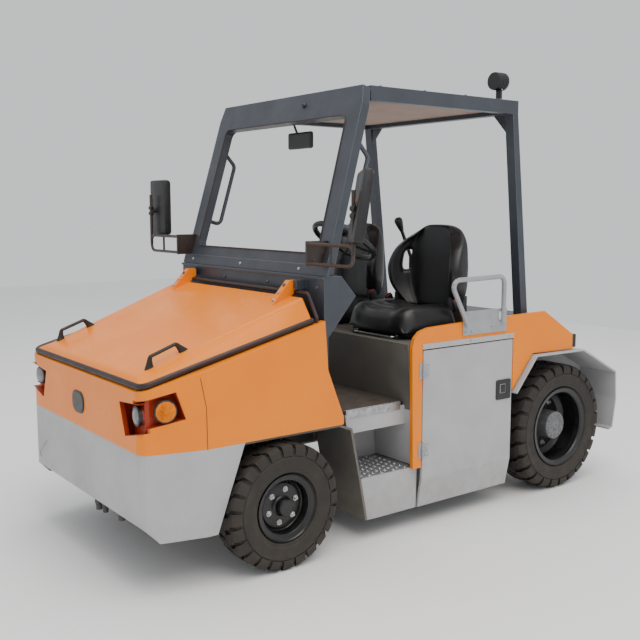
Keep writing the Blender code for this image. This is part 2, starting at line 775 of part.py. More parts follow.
def make_steering():
    up = Vector((0, math.sin(COLUMN_TILT), math.cos(COLUMN_TILT)))
    centre = Vector(WHEEL_CENTRE)
    column = keep("steering_column", cylinder(centre - up * 0.95, centre - up * 0.062, 0.025, 20),
                  PLASTIC)
    cut(column, box((0, -0.2, 0.3), (0.7, 0.2625, 1.2)))
    work = bmesh.new()
    rim_radius, grip, around, section = 0.160, 0.014, 32, 8
    rings = []
    for i in range(around):
        turn = Matrix.Rotation(2 * math.pi * i / around, 3, "Z")
        ring = []
        for j in range(section):
            angle = 2 * math.pi * j / section
            point = Vector((rim_radius + grip * math.cos(angle), 0, grip * math.sin(angle)))
            ring.append(work.verts.new(turn @ point))
        rings.append(ring)
    for i in range(around):
        for j in range(section):
            nearby, across = rings[(i + 1) % around], (j + 1) % section
            work.faces.new((rings[i][j], nearby[j], nearby[across], rings[i][across]))
    place = Matrix.Translation(centre) @ Matrix.Rotation(-COLUMN_TILT, 4, "X")
    ring = mesh_of(work)
    ring.transform(place)
    wheel = keep("steering_wheel", ring, PLASTIC, centre)
    hub = cylinder((0, 0, -0.055), (0, 0, 0.012), 0.036, 20)
    hub.transform(place)
    fuse(wheel, hub)
    for angle in (0, 120, 240):
        turn = Matrix.Rotation(math.radians(angle - 90), 4, "Z")
        spoke = box((0.02, -0.016, -0.014), (0.160, 0.016, -0.004))
        spoke.transform(place @ turn)
        fuse(wheel, spoke)


def make_seat(side, owner):
    x = side * SEAT_X
    cushion = soft_box((x - 0.245, 0.790, SEAT_BOX_TOP[1] + GAP), (x + 0.245, 1.135, 1.085), 0.035)
    keep(f"{owner}_seat_cushion", cushion, VINYL)
    pan = box((x - 0.200, 1.1353, SEAT_BOX_TOP[1] + GAP), (x + 0.200, 1.270, 1.110))
    wings = [(x - 0.250, -0.125), (x - 0.235, 0.030), (x + 0.235, 0.030), (x + 0.250, -0.125)]
    back = prism(strip(wings, 0.075), "Z", 0.066, 0.470)
    back.transform(Matrix.Translation((0, 1.165, 1.026)) @ Matrix.Rotation(-0.16, 4, "X"))
    fuse(keep(f"{owner}_seat_back", back, VINYL), pan)


def make_control_lever():
    lever = tube([(0.020, 1.340, SEAT_BOX_TOP[1] + GAP), (0.020, 1.340, 1.300),
                  (0.020, 1.245, 1.500)], 0.010)
    keep("control_lever", lever, PLASTIC)


def make_handrail(side, name):
    x = side * 0.6925
    route = [(1.113, 0.990), (0.983, 1.222), (1.374, 1.228), (1.374, 0.990)]
    path = rounded([(x, y, z) for y, z in route], 0.035)
    plate = box_between((side * (HALF_WIDTH + GAP), 1.091, 0.941), (side * 0.683, 1.410, 1.061))
    fuse(keep(name, plate, STEEL), tube(path, 0.0125))


def make_grab_handle(side, name):
    x = side * 0.585
    out = Vector((0, 1, -SCREEN_LEAN)).normalized()
    down = Vector((0, -SCREEN_LEAN, -1)).normalized()
    feet = [Vector((x, screen_back_y(z), z)) for z in (1.880, 1.505)]
    high, low = [foot + out * 0.0065 for foot in feet]
    path = rounded([high, high + out * 0.080 + down * 0.050, low + out * 0.074, low], 0.030)
    keep(name, tube(path, 0.011), CHARCOAL)


def screen_front_y(z):
    """The front face of the windscreen frame."""
    return SCREEN_TOP_Y - SCREEN_LEAN * (ROOF_Z - z)


def make_mirror(side, name):
    """Loop bracket off the pillar foot, mast and head."""
    y, high_z, low_z = 0.185, 1.420, 1.334
    loop = rounded([(side * 0.600, y, high_z), (side * MIRROR_X, y, high_z),
                    (side * MIRROR_X, y, low_z), (side * 0.600, y, low_z)], 0.035)
    foot = [(0.178, 1.324), (0.178, 1.432), (screen_front_y(1.432) - 0.0005, 1.432),
            (screen_front_y(1.324) - 0.0005, 1.324)]
    mirror = keep(name, tube(loop, 0.008), PLASTIC)
    head = soft_box((-0.090, -0.020, -0.155), (0.090, 0.020, 0.155), 0.015)
    if side > 0:
        turn = Matrix.Rotation(math.radians(-30), 4, "Z")
        head.transform(Matrix.Rotation(math.radians(-11), 4, "X") @ turn)
    reach = max(side * vertex.co.x for vertex in head.vertices)
    head.transform(Matrix.Translation((side * (OVERALL_HALF_WIDTH - reach), 0.232, 1.578)))
    mast = tube([(side * MIRROR_X, y, 1.375), (side * MIRROR_X, y, 1.650)], 0.009)
    arm = tube([(side * MIRROR_X, y, 1.560), (side * MIRROR_X, 0.225, 1.560)], 0.012)
    divider = tube([(side * 0.770, y, low_z), (side * 0.770, y, high_z)], 0.006)
    fuse(mirror, prism(foot, "X", *sorted((side * 0.594, side * 0.606))), mast, arm, divider, head)


def make_small_fittings():
    stem = tube([(0.000, screen_back_y(2.03) + 0.007, 2.030), (0.000, 0.562, 1.950)], 0.006)
    mirror = soft_box((-0.070, 0.548, 1.874), (0.130, 0.572, 1.958), 0.010)
    fuse(keep("interior_mirror", mirror, PLASTIC), stem)
    lamp = cylinder((0.500, 1.470, 2.236), (0.500, 1.535, 2.236), 0.045, 24)
    bracket = box((0.485, 1.505, ROOF_Z + GAP), (0.515, 1.520, 2.200))
    fuse(keep("work_lamp", lamp, PLASTIC), bracket)
    for name, side in SIDES.items():
        low = (side * 0.600, BODY_REAR_Y + GAP, 0.797)
        keep(f"tail_lamp_{name}", box_between(low, (side * 0.672, 2.010, 0.870)), RED_LENS)


def build():
    make_chassis()
    make_bumper()
    make_nose()
    make_bonnet()
    make_cowl()
    make_windscreen_frame()
    make_roof_frame()
    make_roof_panel()
    make_floor()
    make_seat_box()
    make_rear_deck()
    make_rear_hitch()
    make_front_axle()
    make_rear_axle()
    make_battery()
    make_steering()
    make_wheels()
    make_small_fittings()
    make_control_lever()
    make_seat(1, "driver")
    make_seat(-1, "passenger")
    for name, side in SIDES.items():
        make_front_fender(side, f"front_fender_{name}")
        make_wheel_liner(side, f"wheel_liner_{name}")
        make_lamp_cluster(side, f"lamp_cluster_{name}")
        make_bonnet_handle(side, f"bonnet_handle_{name}")
        make_step(side, f"step_{name}")
        make_side_panel(side, f"side_panel_{name}")
        make_side_door(side, f"side_door_{name}")
        make_mudguard(side, f"rear_mudguard_{name}")
        make_knuckle(side, f"knuckle_{name}")
        make_handrail(side, f"handrail_{name}")
        make_grab_handle(side, f"grab_handle_{name}")
        make_mirror(side, f"mirror_{name}")


build()
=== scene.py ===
"""Airport baggage tug: paint, tyres, seats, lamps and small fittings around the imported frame.

Lengths along the vehicle are measured from the front axle, as on a maker's drawing, and
AXLE_Y moves them into the frame.
"""

import math

import bmesh
import bpy
from mathutils import Matrix, Vector


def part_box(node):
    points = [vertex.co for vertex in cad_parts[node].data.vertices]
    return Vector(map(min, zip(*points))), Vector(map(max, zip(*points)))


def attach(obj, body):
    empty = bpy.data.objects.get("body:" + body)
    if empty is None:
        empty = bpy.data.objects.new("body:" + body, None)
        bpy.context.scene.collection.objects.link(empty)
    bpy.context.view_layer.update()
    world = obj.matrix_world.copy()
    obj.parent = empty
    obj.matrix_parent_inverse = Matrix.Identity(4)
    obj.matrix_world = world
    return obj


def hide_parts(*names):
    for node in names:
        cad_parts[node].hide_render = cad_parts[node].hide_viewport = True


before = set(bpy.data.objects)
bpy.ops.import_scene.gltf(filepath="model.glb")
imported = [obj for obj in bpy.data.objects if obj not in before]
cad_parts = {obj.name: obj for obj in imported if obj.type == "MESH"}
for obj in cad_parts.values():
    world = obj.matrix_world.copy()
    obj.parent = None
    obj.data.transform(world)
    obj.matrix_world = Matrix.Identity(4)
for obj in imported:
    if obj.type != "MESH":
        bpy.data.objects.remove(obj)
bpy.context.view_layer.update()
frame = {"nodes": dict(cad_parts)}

bl_info = {"name": "Airport baggage tug", "version": (1, 0, 0), "blender": (4, 5, 0),
    "location": "View3D > Sidebar > Baggage tug",
    "description": "Finishes and fittings for an electric baggage tug", "category": "Object"}

AXLE_Y = -0.9
SIDES = {"left": 1, "right": -1}
UP = (0, 0, 1)
PROUD = 0.0003  # how far a fitting stands off the face it is on
HALF_WIDTH = 0.676
NOSE_Y, NOSE_HALF, FLANK_TAPER = -0.639, 0.61, 0.252
SHOULDER_Z, SHOULDER_SLOPE = 0.8555, 0.262
LID_FRONT, LID_SLOPE = (-0.6, 0.905), 0.3586
SCREEN_TOP, SCREEN_LEAN = (0.499, 2.13), 0.29
SEAT_X, SEAT_BOX_Z = 0.33, 0.925
DECK_Z, ROOF_Z, STEP_Z = 1.0003, 2.1303, 0.3103
HINGE_X, HINGE_Y, HINGE_HEIGHTS = 0.684, 0.822, (0.791, 0.395)
WHEEL_CENTRE, COLUMN_TILT = Vector((0.33, 0.607, 1.415)), 33
FRONT = dict(radius=0.283, width=0.175, flange=0.15, outer_x=0.713, y=0.0)
REAR = dict(radius=0.353, width=0.222, flange=0.222, outer_x=0.6815, y=1.895)
SETTINGS = {}


# ---------------------------------------------------------------- colour and nodes
def linear(code):
    """Linear red, green, blue and one from an sRGB hex value. A setting is linear already."""
    if not isinstance(code, str):
        return tuple(code)
    parts = [int(code[i:i + 2], 16) / 255 for i in (1, 3, 5)]
    return (*(p / 12.92 if p <= 0.04045 else ((p + 0.055) / 1.055) ** 2.4 for p in parts), 1.0)


def add_node(tree, kind, settings=(), links=()):
    """A node, with its attributes and input values, and with sockets linked to its inputs."""
    made = tree.nodes.new(kind)
    for name, value in dict(settings).items():
        if isinstance(name, str) and hasattr(made, name):
            setattr(made, name, value)
        else:
            made.inputs[name].default_value = value
    for name, socket in dict(links).items():
        tree.links.new(socket, made.inputs[name])
    return made


def circle(count):
    """Cosine and sine at equal steps round a circle."""
    angles = [2 * math.pi * i / count for i in range(count)]
    return [(math.cos(a), math.sin(a)) for a in angles]


def turn_to(axis):
    """The rotation that takes the z axis to the given one."""
    return Vector(UP).rotation_difference(Vector(axis)).to_matrix().to_4x4()


def per_metre(millimetres):
    """A texture scale from the size of one feature."""
    return 1000 / millimetres


def coated(name, colour, shade, roughness=(0.35, 0.5), metallic=0.0, patch=180, grain=3.0,
        depth=0.05, edge=None, edge_width=2.5, edge_share=0.5, dust=0.0, dust_top=0.55,
        dust_colour="#8C8377", crevice_shade=0.0, cells=False, stretch=(1, 1, 1), **shader_inputs):
    """The common build of every finish: two tones in patches, a grain in the surface, edges
    lightened partly by wear and partly as a painted highlight, dust that thickens towards the
    ground, and painted shade in crevices. Sizes are in millimetres."""
    made = bpy.data.materials.new(name)
    made.use_nodes = True
    tree = made.node_tree
    shader = tree.nodes["Principled BSDF"]

    def node(kind, settings=(), links=(), output=0):
        return add_node(tree, "ShaderNode" + kind, settings, links).outputs[output]

    def layer(share, under, over):
        return node("Mix", {"data_type": "RGBA", 7: linear(over)}, {0: share, 6: under}, 2)

    place = node("TexCoord", output="Object")
    tones = node("TexNoise", {"Scale": per_metre(patch), "Detail": 6.0, "Roughness": 0.6},
        {"Vector": place})
    spread = node("MapRange", {1: 0.35, 2: 0.65}, {0: tones})
    colours = node("Mix", {"data_type": "RGBA", 6: linear(colour), 7: linear(shade)}, {0: spread},
        2)
    rough = node("MapRange", {3: roughness[0], 4: roughness[1]}, {0: spread})
    fine = node("Mapping", {"Scale": stretch}, {"Vector": place})
    if cells:
        texture = node("TexVoronoi", {"feature": "SMOOTH_F1", "Scale": per_metre(grain)},
            {"Vector": fine})
    else:
        texture = node("TexNoise", {"Scale": per_metre(grain), "Detail": 3.0}, {"Vector": fine})
    corner = node("Bevel", {"samples": 4, "Radius": edge_width / 1000})
    bump = node("Bump", {"Strength": 1.0, "Distance": depth / 1000},
        {"Height": texture, "Normal": corner})
    # edge colour: partly wear and partly a painted highlight that lightens every rounded edge,
    # broken into patches by the tones
    if edge:
        normal = node("NewGeometry", output="Normal")
        facing = node("VectorMath", {"operation": "DOT_PRODUCT"}, {0: corner, 1: normal}, "Value")
        edge_wear_and_highlight = node("MapRange", {1: 0.995, 2: 0.9, 3: 0.0, 4: edge_share}, {0: facing})
        broken = node("MapRange", {1: 0.3, 2: 0.6, 3: 0.4}, {0: tones})
        broken_wear_and_highlight = node("Math", {"operation": "MULTIPLY"}, {0: edge_wear_and_highlight, 1: broken})
        colours = layer(broken_wear_and_highlight, colours, edge)
    if dust:
        height = node("SeparateXYZ", {}, {0: place}, "Z")
        low = node("MapRange", {1: dust_top, 2: 0.05, 3: 0.0, 4: dust}, {0: height})
        clouds = node("TexNoise", {"Scale": per_metre(60), "Detail": 8.0}, {"Vector": place})
        patches = node("MapRange", {1: 0.3, 2: 0.7}, {0: clouds})
        settled = node("Math", {"operation": "MULTIPLY"}, {0: low, 1: patches})
        colours = layer(settled, colours, dust_colour)
        rough = node("Mix", {"data_type": "FLOAT", 3: 0.85}, {0: settled, 2: rough})
    # painted shade: darkens crevices and hollows, found by ambient occlusion, towards near-black
    if crevice_shade:
        hidden = node("AmbientOcclusion", {"samples": 4, "Distance": 0.06}, output="AO")
        crevice = node("MapRange", {1: 0.75, 2: 0.2, 3: 0.0, 4: crevice_shade}, {0: hidden})
        colours = layer(crevice, colours, "#1A1714")
    for socket, values in (("Base Color", colours), ("Roughness", rough), ("Normal", bump)):
        tree.links.new(values, shader.inputs[socket])
    shader.inputs["Metallic"].default_value = metallic
    for key, value in shader_inputs.items():
        shader.inputs[key.replace("_", " ").title().replace("Ior", "IOR")].default_value = value
    return made


def make_finishes(paint):
    """Every finish on the machine. Paint holds the user's own colours."""
    return {
        # powder coat baked on folded steel: a glossy skin with a faint orange peel, and a painted
        # highlight along its edges
        "orange": coated("orange_powder_coat", paint.body, "#F08000", (0.26, 0.38), grain=1.6,
            depth=0.03, edge="#FFB860", edge_share=0.35, dust=0.04, patch=350, Coat_Weight=0.08,
            Coat_Roughness=0.12, Specular_IOR_Level=0.25),
        # inside the lamp pockets the same coat sits in its own shade and looks deep red
        "pocket": coated("shaded_orange_powder_coat", "#A8330A", "#982C08", (0.35, 0.5), grain=1.6,
            depth=0.03, patch=200),
        # satin machine enamel on plate: even grey, slightly cloudy, with a painted highlight
        # lightening its folds
        "grey": coated("grey_satin_enamel", paint.panels, "#A6A6A8", (0.38, 0.5), patch=240,
            grain=2.2, depth=0.04, edge="#D9DADC", edge_share=0.5, dust=0.35, dust_top=0.4),
        # dark blue-grey textured coat on tube and sheet: a painted bluish highlight along every
        # edge
        "charcoal": coated("charcoal_textured_coat", paint.frame, "#353A42", (0.36, 0.48),
            patch=160, grain=1.8, depth=0.05, edge="#8795A6", edge_width=4, edge_share=0.55,
            dust=0.1),
        # chassis black: sprayed gloss that has dulled near the road
        "black": coated("black_chassis_enamel", "#17181A", "#202124", (0.25, 0.45), patch=90,
            grain=4, depth=0.08, edge="#4A4C50", edge_share=0.4, dust=0.4),
        # wheel black: smooth gloss enamel, with a painted highlight along its rolled edges
        "rim": coated("black_gloss_wheel_enamel", "#090A0C", "#0F1013", (0.25, 0.38), patch=70,
            grain=5, depth=0.03, edge="#4A4F57", edge_width=1.5, edge_share=0.25, dust=0.05),
        # matt brown-black coat under the seats, scuffed by boots, with edges lightened partly by
        # scuffs and partly as painted highlight
        "dark": coated("brown_black_matt_coat", "#5C5954", "#66625B", (0.5, 0.7), patch=120,
            grain=1.5, depth=0.08, edge="#77726A", edge_share=0.5, dust=0.25),
        # moulded solid rubber: warm dark grey, dull, with dust rubbed into it, edges lightened
        # partly by wear and partly as painted highlight, and painted shade in its grooves
        "rubber": coated("moulded_tyre_rubber", "#1D1A17", "#28241F", (0.62, 0.82), patch=45,
            grain=2.0, depth=0.25, edge="#5A524A", edge_width=3, edge_share=0.5, dust=0.25,
            dust_top=0.9, dust_colour="#5E5347", crevice_shade=0.7),
        # extruded sponge seal: soft purple-brown rubber with a dull sheen
        "seal": coated("sponge_rubber_seal", "#281C1C", "#332523", (0.45, 0.6), patch=60, grain=1.2,
            depth=0.05, edge="#5E4B48", edge_share=0.3),
        # embossed vinyl: a pebbled skin whose pebbles catch the light on every swell
        "vinyl": coated("embossed_black_vinyl", paint.seats, "#18181A", (0.32, 0.44), patch=70,
            grain=4.0, depth=0.3, cells=True, edge="#3C3D42", edge_share=0.2),
        # silver enamel over drawn steel tube
        "silver": coated("silver_enamel_on_tube", "#A2A4A7", "#97999D", (0.28, 0.4), patch=80,
            grain=2, depth=0.03, edge="#E6E7E8", edge_share=0.4, metallic=0.25),
        # bright zinc on bolts, studs and hinge pins
        "zinc": coated("zinc_plated_steel", "#C2C4C4", "#9FA29F", (0.22, 0.4), 1.0, patch=8,
            grain=0.8, depth=0.02, edge="#F0F0EE", edge_width=0.8),
        # hot-dipped tread plate: cloudy zinc, its bright edges partly polished where feet rub it
        # and partly painted highlight, with painted shade in its hollows
        "tread": coated("galvanised_tread_plate", "#B5B7B9", "#8E9194", (0.25, 0.5), 0.75, patch=25,
            grain=1.5, depth=0.04, edge="#F2F3F4", edge_width=1.5, edge_share=0.8, crevice_shade=0.3),
        # cast hub: raw grey iron washed with paint
        "iron": coated("grey_cast_iron", "#77797C", "#5E6063", (0.45, 0.65), 0.3, patch=20,
            grain=2.2, depth=0.25, edge="#A5A7AA", edge_share=0.5, dust=0.2),
        # moulded ABS and glass-filled nylon: black, finely spark-textured
        "plastic": coated("spark_textured_abs", "#18181A", "#202022", (0.38, 0.5), patch=60,
            grain=0.9, depth=0.06, edge="#4B4D50", edge_share=0.35),
        # brown-black coated steel strap of the mirror arms
        "strap": coated("brown_black_strap_coat", "#2A211E", "#352A26", (0.35, 0.5), patch=50,
            grain=1.4, depth=0.05, edge="#7B6A60", edge_share=0.5),
        # needled felt glued under the roof: fibrous, matt and tan
        "liner": coated("tan_needle_felt", "#8A5D36", "#7A5230", (0.85, 0.95), patch=140, grain=3,
            depth=0.6, Sheen_Weight=0.3),
        # ribbed rubber mat, brown with trodden-in dirt
        "mat": coated("ribbed_floor_rubber", "#3B342E", "#4A4139", (0.6, 0.8), patch=70, grain=9,
            depth=0.9, stretch=(0.02, 1, 1), dust=0.3, dust_top=0.9),
        # acrylic: clear over a bright reflector
        "clear": coated("clear_fluted_acrylic", "#6F6B6E", "#8C888A", (0.12, 0.2), patch=30,
            grain=6, depth=0.3, stretch=(1, 1, 0.05)),
        # amber acrylic with prisms moulded inside it
        "amber": coated("amber_prismatic_acrylic", "#E07C00", "#CC6A00", (0.4, 0.5), patch=20,
            grain=7, depth=0.5, cells=True, Specular_IOR_Level=0.15),
        "red": coated("red_prismatic_acrylic", "#9A1512", "#7C0F0E", (0.1, 0.18), patch=20, grain=6,
            depth=0.5, cells=True, Coat_Weight=0.8),
        # silvered float glass
        "mirror": coated("silvered_mirror_glass", "#E4E8EA", "#DDE2E5", (0.02, 0.04), 1.0,
            patch=200, grain=300, depth=0.001),
        # blank vinyl label and the blank badge
        "label": coated("white_vinyl_label", "#EDEDEA", "#E2E2DE", (0.35, 0.45), patch=30),
        "badge": coated("grey_green_enamel_badge", "#34342F", "#2C2C28", (0.35, 0.45), patch=20,
            edge="#7E8079", edge_share=0.4),
        # seat belt buckles
        "buckle": coated("red_moulded_nylon", "#A3131E", "#8D0F18", (0.25, 0.35), patch=15,
            edge="#D8505A", edge_share=0.4),
        # painted studio floor
        "floor": coated("pale_studio_floor", "#F1F1F1", "#EFEFEF", (0.7, 0.8), patch=900, grain=5,
            depth=0.05)
    }


# ---------------------------------------------------------------- making meshes
def link(made):
    """Puts an object into the scene."""
    bpy.context.scene.collection.objects.link(made)


class Making:
    """A mesh in progress, in vehicle coordinates. Each call adds one closed shape."""

    def __init__(self):
        self.work = bmesh.new()
        self.finishes = []

    def number(self, finish):
        """The slot of a finish on this mesh."""
        if finish not in self.finishes:
            self.finishes.append(finish)
        return self.finishes.index(finish)

    def faces(self, points, faces, finish, place=None):
        """Vertices and faces given by index."""
        number = self.number(finish)
        verts = [self.work.verts.new(place @ Vector(p) if place else p) for p in points]
        for face in faces:
            corners = [verts[i] for i in face]
            if len(set(corners)) > 2:
                made = self.work.faces.new(corners)
                made.material_index = number
                made.smooth = True
        return verts

    def grid(self, rows, finish, around=False, closed=False, caps=False, place=None):
        """Quads through rows of points; around joins the last row to the first."""
        count = len(rows[0])
        quads = []
        for i in range(len(rows) if around else len(rows) - 1):
            j = (i + 1) % len(rows)
            for a in range(count if closed else count - 1):
                b = (a + 1) % count
                quads.append((i * count + a, i * count + b, j * count + b, j * count + a))
        if caps:
            quads.append(tuple(range(count))[::-1])
            quads.append(tuple(range((len(rows) - 1) * count, len(rows) * count)))
        return self.faces([p for row in rows for p in row], quads, finish, place)

    def weld(self, gap):
        """Joins points that meet."""
        bmesh.ops.remove_doubles(self.work, verts=self.work.verts, dist=gap)

    def box(self, low, high, finish, bevel=0.0, place=None):
        """A cuboid between two corners, its edges rounded by bevel."""
        low, high = Vector(low), Vector(high)
        size = Matrix.Diagonal((*[abs(c) for c in high - low], 1))
        turn = (place or Matrix.Identity(4)) @ Matrix.Translation((low + high) / 2) @ size
        made = bmesh.ops.create_cube(self.work, size=1, matrix=turn)["verts"]
        edges = list({edge for vert in made for edge in vert.link_edges})
        for face in {face for vert in made for face in vert.link_faces}:
            face.material_index = self.number(finish)
            face.smooth = True
        if bevel:
            bmesh.ops.bevel(self.work, geom=edges, offset=bevel, segments=2, affect="EDGES",
                profile=0.6, clamp_overlap=True)

    def prism(self, outline, start, end, finish, axis="X"):
        """An outline in the other two axes, extruded along axis."""
        index = "XYZ".index(axis)
        rows = [[[*pair[:index], along, *pair[index:]] for pair in outline]
            for along in sorted((start, end))]
        self.grid(rows, finish, closed=True, caps=True)

    def turned(self, profile, centre, axis, finish, sides=32):
        """A profile of (radius, distance along axis) turned round it."""
        place = Matrix.Translation(centre) @ turn_to(axis)
        rows = [[(radius * c, radius * s, along) for c, s in circle(sides)]
            for radius, along in profile]
        self.grid(rows, finish, closed=True, caps=True, place=place)

    def rod(self, start, end, radius, finish, sides=16):
        """A bar with slightly rounded ends."""
        start, end = Vector(start), Vector(end)
        length = (end - start).length
        edge = min(0.15 * radius, length / 3)
        self.turned([(radius - edge, 0), (radius, edge), (radius, length - edge),
            (radius - edge, length)], start, end - start, finish, sides)

    def tube(self, points, radius, finish, sides=10, closed=False, squash=1.0, up=UP):
        """A round or oval section swept along points."""
        points = [Vector(p) for p in points]
        rows = []
        for i, point in enumerate(points):
            before = points[i - 1] if (i or closed) else point
            after = points[(i + 1) % len(points)] if (closed or i + 1 < len(points)) else point
            along = (after - before).normalized()
            side = along.cross(Vector(up))
            side = side.normalized() if side.length > 1e-3 else Vector((1, 0, 0))
            rise = side.cross(along)
            rows.append([point + side * radius * c + rise * radius * squash * s
                for c, s in circle(sides)])
        self.grid(rows, finish, around=closed, closed=True, caps=not closed)

    def bolt(self, centre, axis, radius=0.008, finish="zinc"):
        """A washer, a hexagon head with a chamfered top."""
        self.turned([(radius * 1.35, 0), (radius * 1.35, radius * 0.18),
            (radius * 0.8, radius * 0.2)], centre, axis, finish, 16)
        self.turned([(radius, radius * 0.15), (radius, radius * 0.75),
            (radius * 0.86, radius * 0.9)], centre, axis, finish, 6)

    def bolts(self, places, axis, radius=0.008, finish="zinc"):
        """A bolt at each place."""
        for place in places:
            self.bolt(place, axis, radius, finish)

    def dome(self, centre, axis, radius, height, finish, sides=32):
        """A lens or cap: a shallow dome on a short rim."""
        rings = 6
        profile = [(radius, -0.004)]
        for k in range(rings):
            angle = math.pi / 2 * k / rings
            profile.append((radius * math.cos(angle), height * math.sin(angle)))
        self.turned(profile, centre, axis, finish, sides)

    def piece(self, name, body="root", sharp=32, replaces=(), subdivide=0):
        """The finished object, moved into the frame and riding on its body."""
        bmesh.ops.recalc_face_normals(self.work, faces=self.work.faces)
        mesh = bpy.data.meshes.new(name)
        self.work.to_mesh(mesh)
        self.work.free()
        mesh.transform(Matrix.Translation((0, AXLE_Y, 0)))
        for finish in self.finishes:
            mesh.materials.append(SETTINGS["finishes"][finish])
        if not subdivide:
            mesh.set_sharp_from_angle(angle=math.radians(sharp))
        made = bpy.data.objects.new(name, mesh)
        link(made)
        if subdivide:
            smooth = made.modifiers.new("smooth", "SUBSURF")
            smooth.levels = smooth.render_levels = subdivide
        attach(made, body)
        if replaces:
            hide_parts(*replaces)
        return made


def rounded(points, radius, steps=5, closed=False):
    """A route whose corners are turned into arcs."""
    points = [Vector(p) for p in points]
    corners = list(zip([points[-1], *points], points, [*points[1:], points[0]]))
    route = [] if closed else [points[0]]
    for before, corner, after in corners if closed else corners[1:-1]:
        to_before, to_after = (before - corner).normalized(), (after - corner).normalized()
        half = to_before.angle(to_after) / 2
        middle = corner + (to_before + to_after).normalized() * radius / math.sin(half)
        start = corner + to_before * radius / math.tan(half) - middle
        end = corner + to_after * radius / math.tan(half) - middle
        for i in range(steps + 1):
            share = i / steps
            way = (start * (1 - share) + end * share).normalized()
            route.append(middle + way * radius)
    return route if closed else [*route, points[-1]]


def rounded_outline(low, high, radius, steps=5):
    """A rectangle with rounded corners, for a prism."""
    corners = [(low[0], low[1], 0), (high[0], low[1], 0), (high[0], high[1], 0),
        (low[0], high[1], 0)]
    return [(p.x, p.y) for p in rounded(corners, radius, steps, closed=True)]


def lid_z(y):
    """Height of the lid's sloping top."""
    return LID_FRONT[1] + LID_SLOPE * (y - LID_FRONT[0])


def shoulder_z(y):
    """Height of the body's top edge, under the lid's seal."""
    return SHOULDER_Z + SHOULDER_SLOPE * (y - NOSE_Y)


def flank_x(y):
    """Half width of the nose, which widens towards the cab."""
    return NOSE_HALF + FLANK_TAPER * (y - NOSE_Y)


def screen_y(z):
    """The front face of the windscreen frame."""
    return SCREEN_TOP[0] - SCREEN_LEAN * (SCREEN_TOP[1] - z)


SCREEN_OUT = Vector((0, -1, SCREEN_LEAN)).normalized()


def upright_ring(half, low_z, high_z, radius, steps):
    """A rounded rectangle that stands in the x-z plane."""
    corners = [(-half, 0, low_z), (half, 0, low_z), (half, 0, high_z), (-half, 0, high_z)]
    return rounded(corners, radius, steps, closed=True)


def placed(centre, degrees, axis="X"):
    """A place turned about one axis."""
    return Matrix.Translation(centre) @ Matrix.Rotation(math.radians(degrees), 4, axis)


# ---------------------------------------------------------------- wheels
def ring_point(radius, out, side, wheel, angle):
    """A point on a wheel, by its radius and its distance outwards from the wheel's middle."""
    x = side * (wheel["outer_x"] - wheel["width"] / 2 + out)
    return (x, wheel["y"] + radius * math.cos(angle), wheel["radius"] + radius * math.sin(angle))


def lathe(making, profile, side, wheel, steps, finish):
    """A profile of (radius, distance outwards) turned round a wheel's axle."""
    rows = []
    for i in range(steps):
        angle = side * 2 * math.pi * i / steps
        rows.append([ring_point(radius, out, side, wheel, angle) for radius, out in profile])
    making.grid(rows, finish, around=True)


def tread_lugs(making, side, wheel, count, depth):
    """Two rows of interlocking blocks, each running from the crown down on to the sidewall."""
    radius, half = wheel["radius"], wheel["width"] / 2
    outer = [(radius, 0.1), (radius, 0.3), (radius, 0.52), (radius - 0.001, 0.72)]
    outer = [(r, share * half) for r, share in outer]
    outer += [(radius - 0.006, half * 0.86), (radius - 0.016, half - 0.005),
        (radius - 0.032, half - 0.0005), (radius - 0.05, half - 0.001)]
    # along the section: how far the block bends and how wide it is, as shares of the pitch
    bend = [0.52, 0.34, 0.3, 0.04, 0.0, 0.0, 0.0, 0.0]
    share = [0.72, 0.72, 0.72, 0.74, 0.74, 0.74, 0.76, 0.8]
    pitch = 2 * math.pi / count
    across = 4
    for row_side in (1, -1):
        for lug in range(count):
            start = (lug + (0.5 if row_side < 0 else 0.0)) * pitch
            top, foot = [], []
            for i, (r, out) in enumerate(outer):
                line, under = [], []
                for k in range(across + 1):
                    u = k / across
                    where = start + (bend[i] + (u - 0.5) * share[i]) * pitch
                    place = out - 0.022 * (1 - abs(2 * u - 1)) if i == 0 else out
                    sink = depth if i < 5 else depth * (0.95, 0.8, 0.5)[i - 5]
                    line.append(ring_point(r, row_side * place, side, wheel, where))
                    drop = r - sink if i < 7 else r
                    inward = place if i < 5 else place - sink
                    under.append(ring_point(drop, row_side * inward, side, wheel, where))
                top.append(line)
                foot.append(under)
            making.grid(top, "rubber")
            for end in (0, -1):
                making.grid([[row[end] for row in top], [row[end] for row in foot]], "rubber")
            for end in (0, -1):
                making.grid([top[end], foot[end]], "rubber")
            making.grid(foot, "rubber")


def make_tyre(end, side_name, side, wheel, count, depth):
    """Carcass and tread of one tyre. The profile runs from the bead to the crown."""
    making = Making()
    radius, flange, half = wheel["radius"], wheel["flange"], wheel["width"] / 2
    one = [(flange - 0.02, half - 0.027), (flange + 0.002, half - 0.023),
        (flange + 0.006, half - 0.01), (flange + 0.012, half - 0.004),
        (flange + 0.022, half - 0.005), (flange + 0.026, half - 0.002),
        (radius - 0.066, half - 0.001), (radius - 0.061, half + 0.0012),
        (radius - 0.056, half + 0.0012), (radius - 0.052, half - 0.004),
        (radius - 0.034, half - 0.01), (radius - depth - 0.01, half * 0.86),
        (radius - depth, half * 0.66), (radius - depth, half * 0.25)]
    profile = one + [(r, -out) for r, out in one[::-1]] + one[:1]
    lathe(making, profile, side, wheel, 96, "rubber")
    making.weld(1e-5)
    tread_lugs(making, side, wheel, count, depth)
    node = f"{end}_tyre_{side_name}"
    making.piece(f"{node}_treaded", f"{end}_wheel_{side_name}", 24, [node])


def stud_circle(making, side, wheel, out, reach, count, radius, length, nut="zinc", turn=0.0):
    """Wheel nuts on their studs."""
    for i in range(count):
        angle = turn + 2 * math.pi * i / count
        foot = Vector(ring_point(reach, out, side, wheel, angle))
        making.bolt(foot, (side, 0, 0), radius, nut)
        making.rod(foot, foot + Vector((side * length, 0, 0)), radius * 0.5, nut, 10)


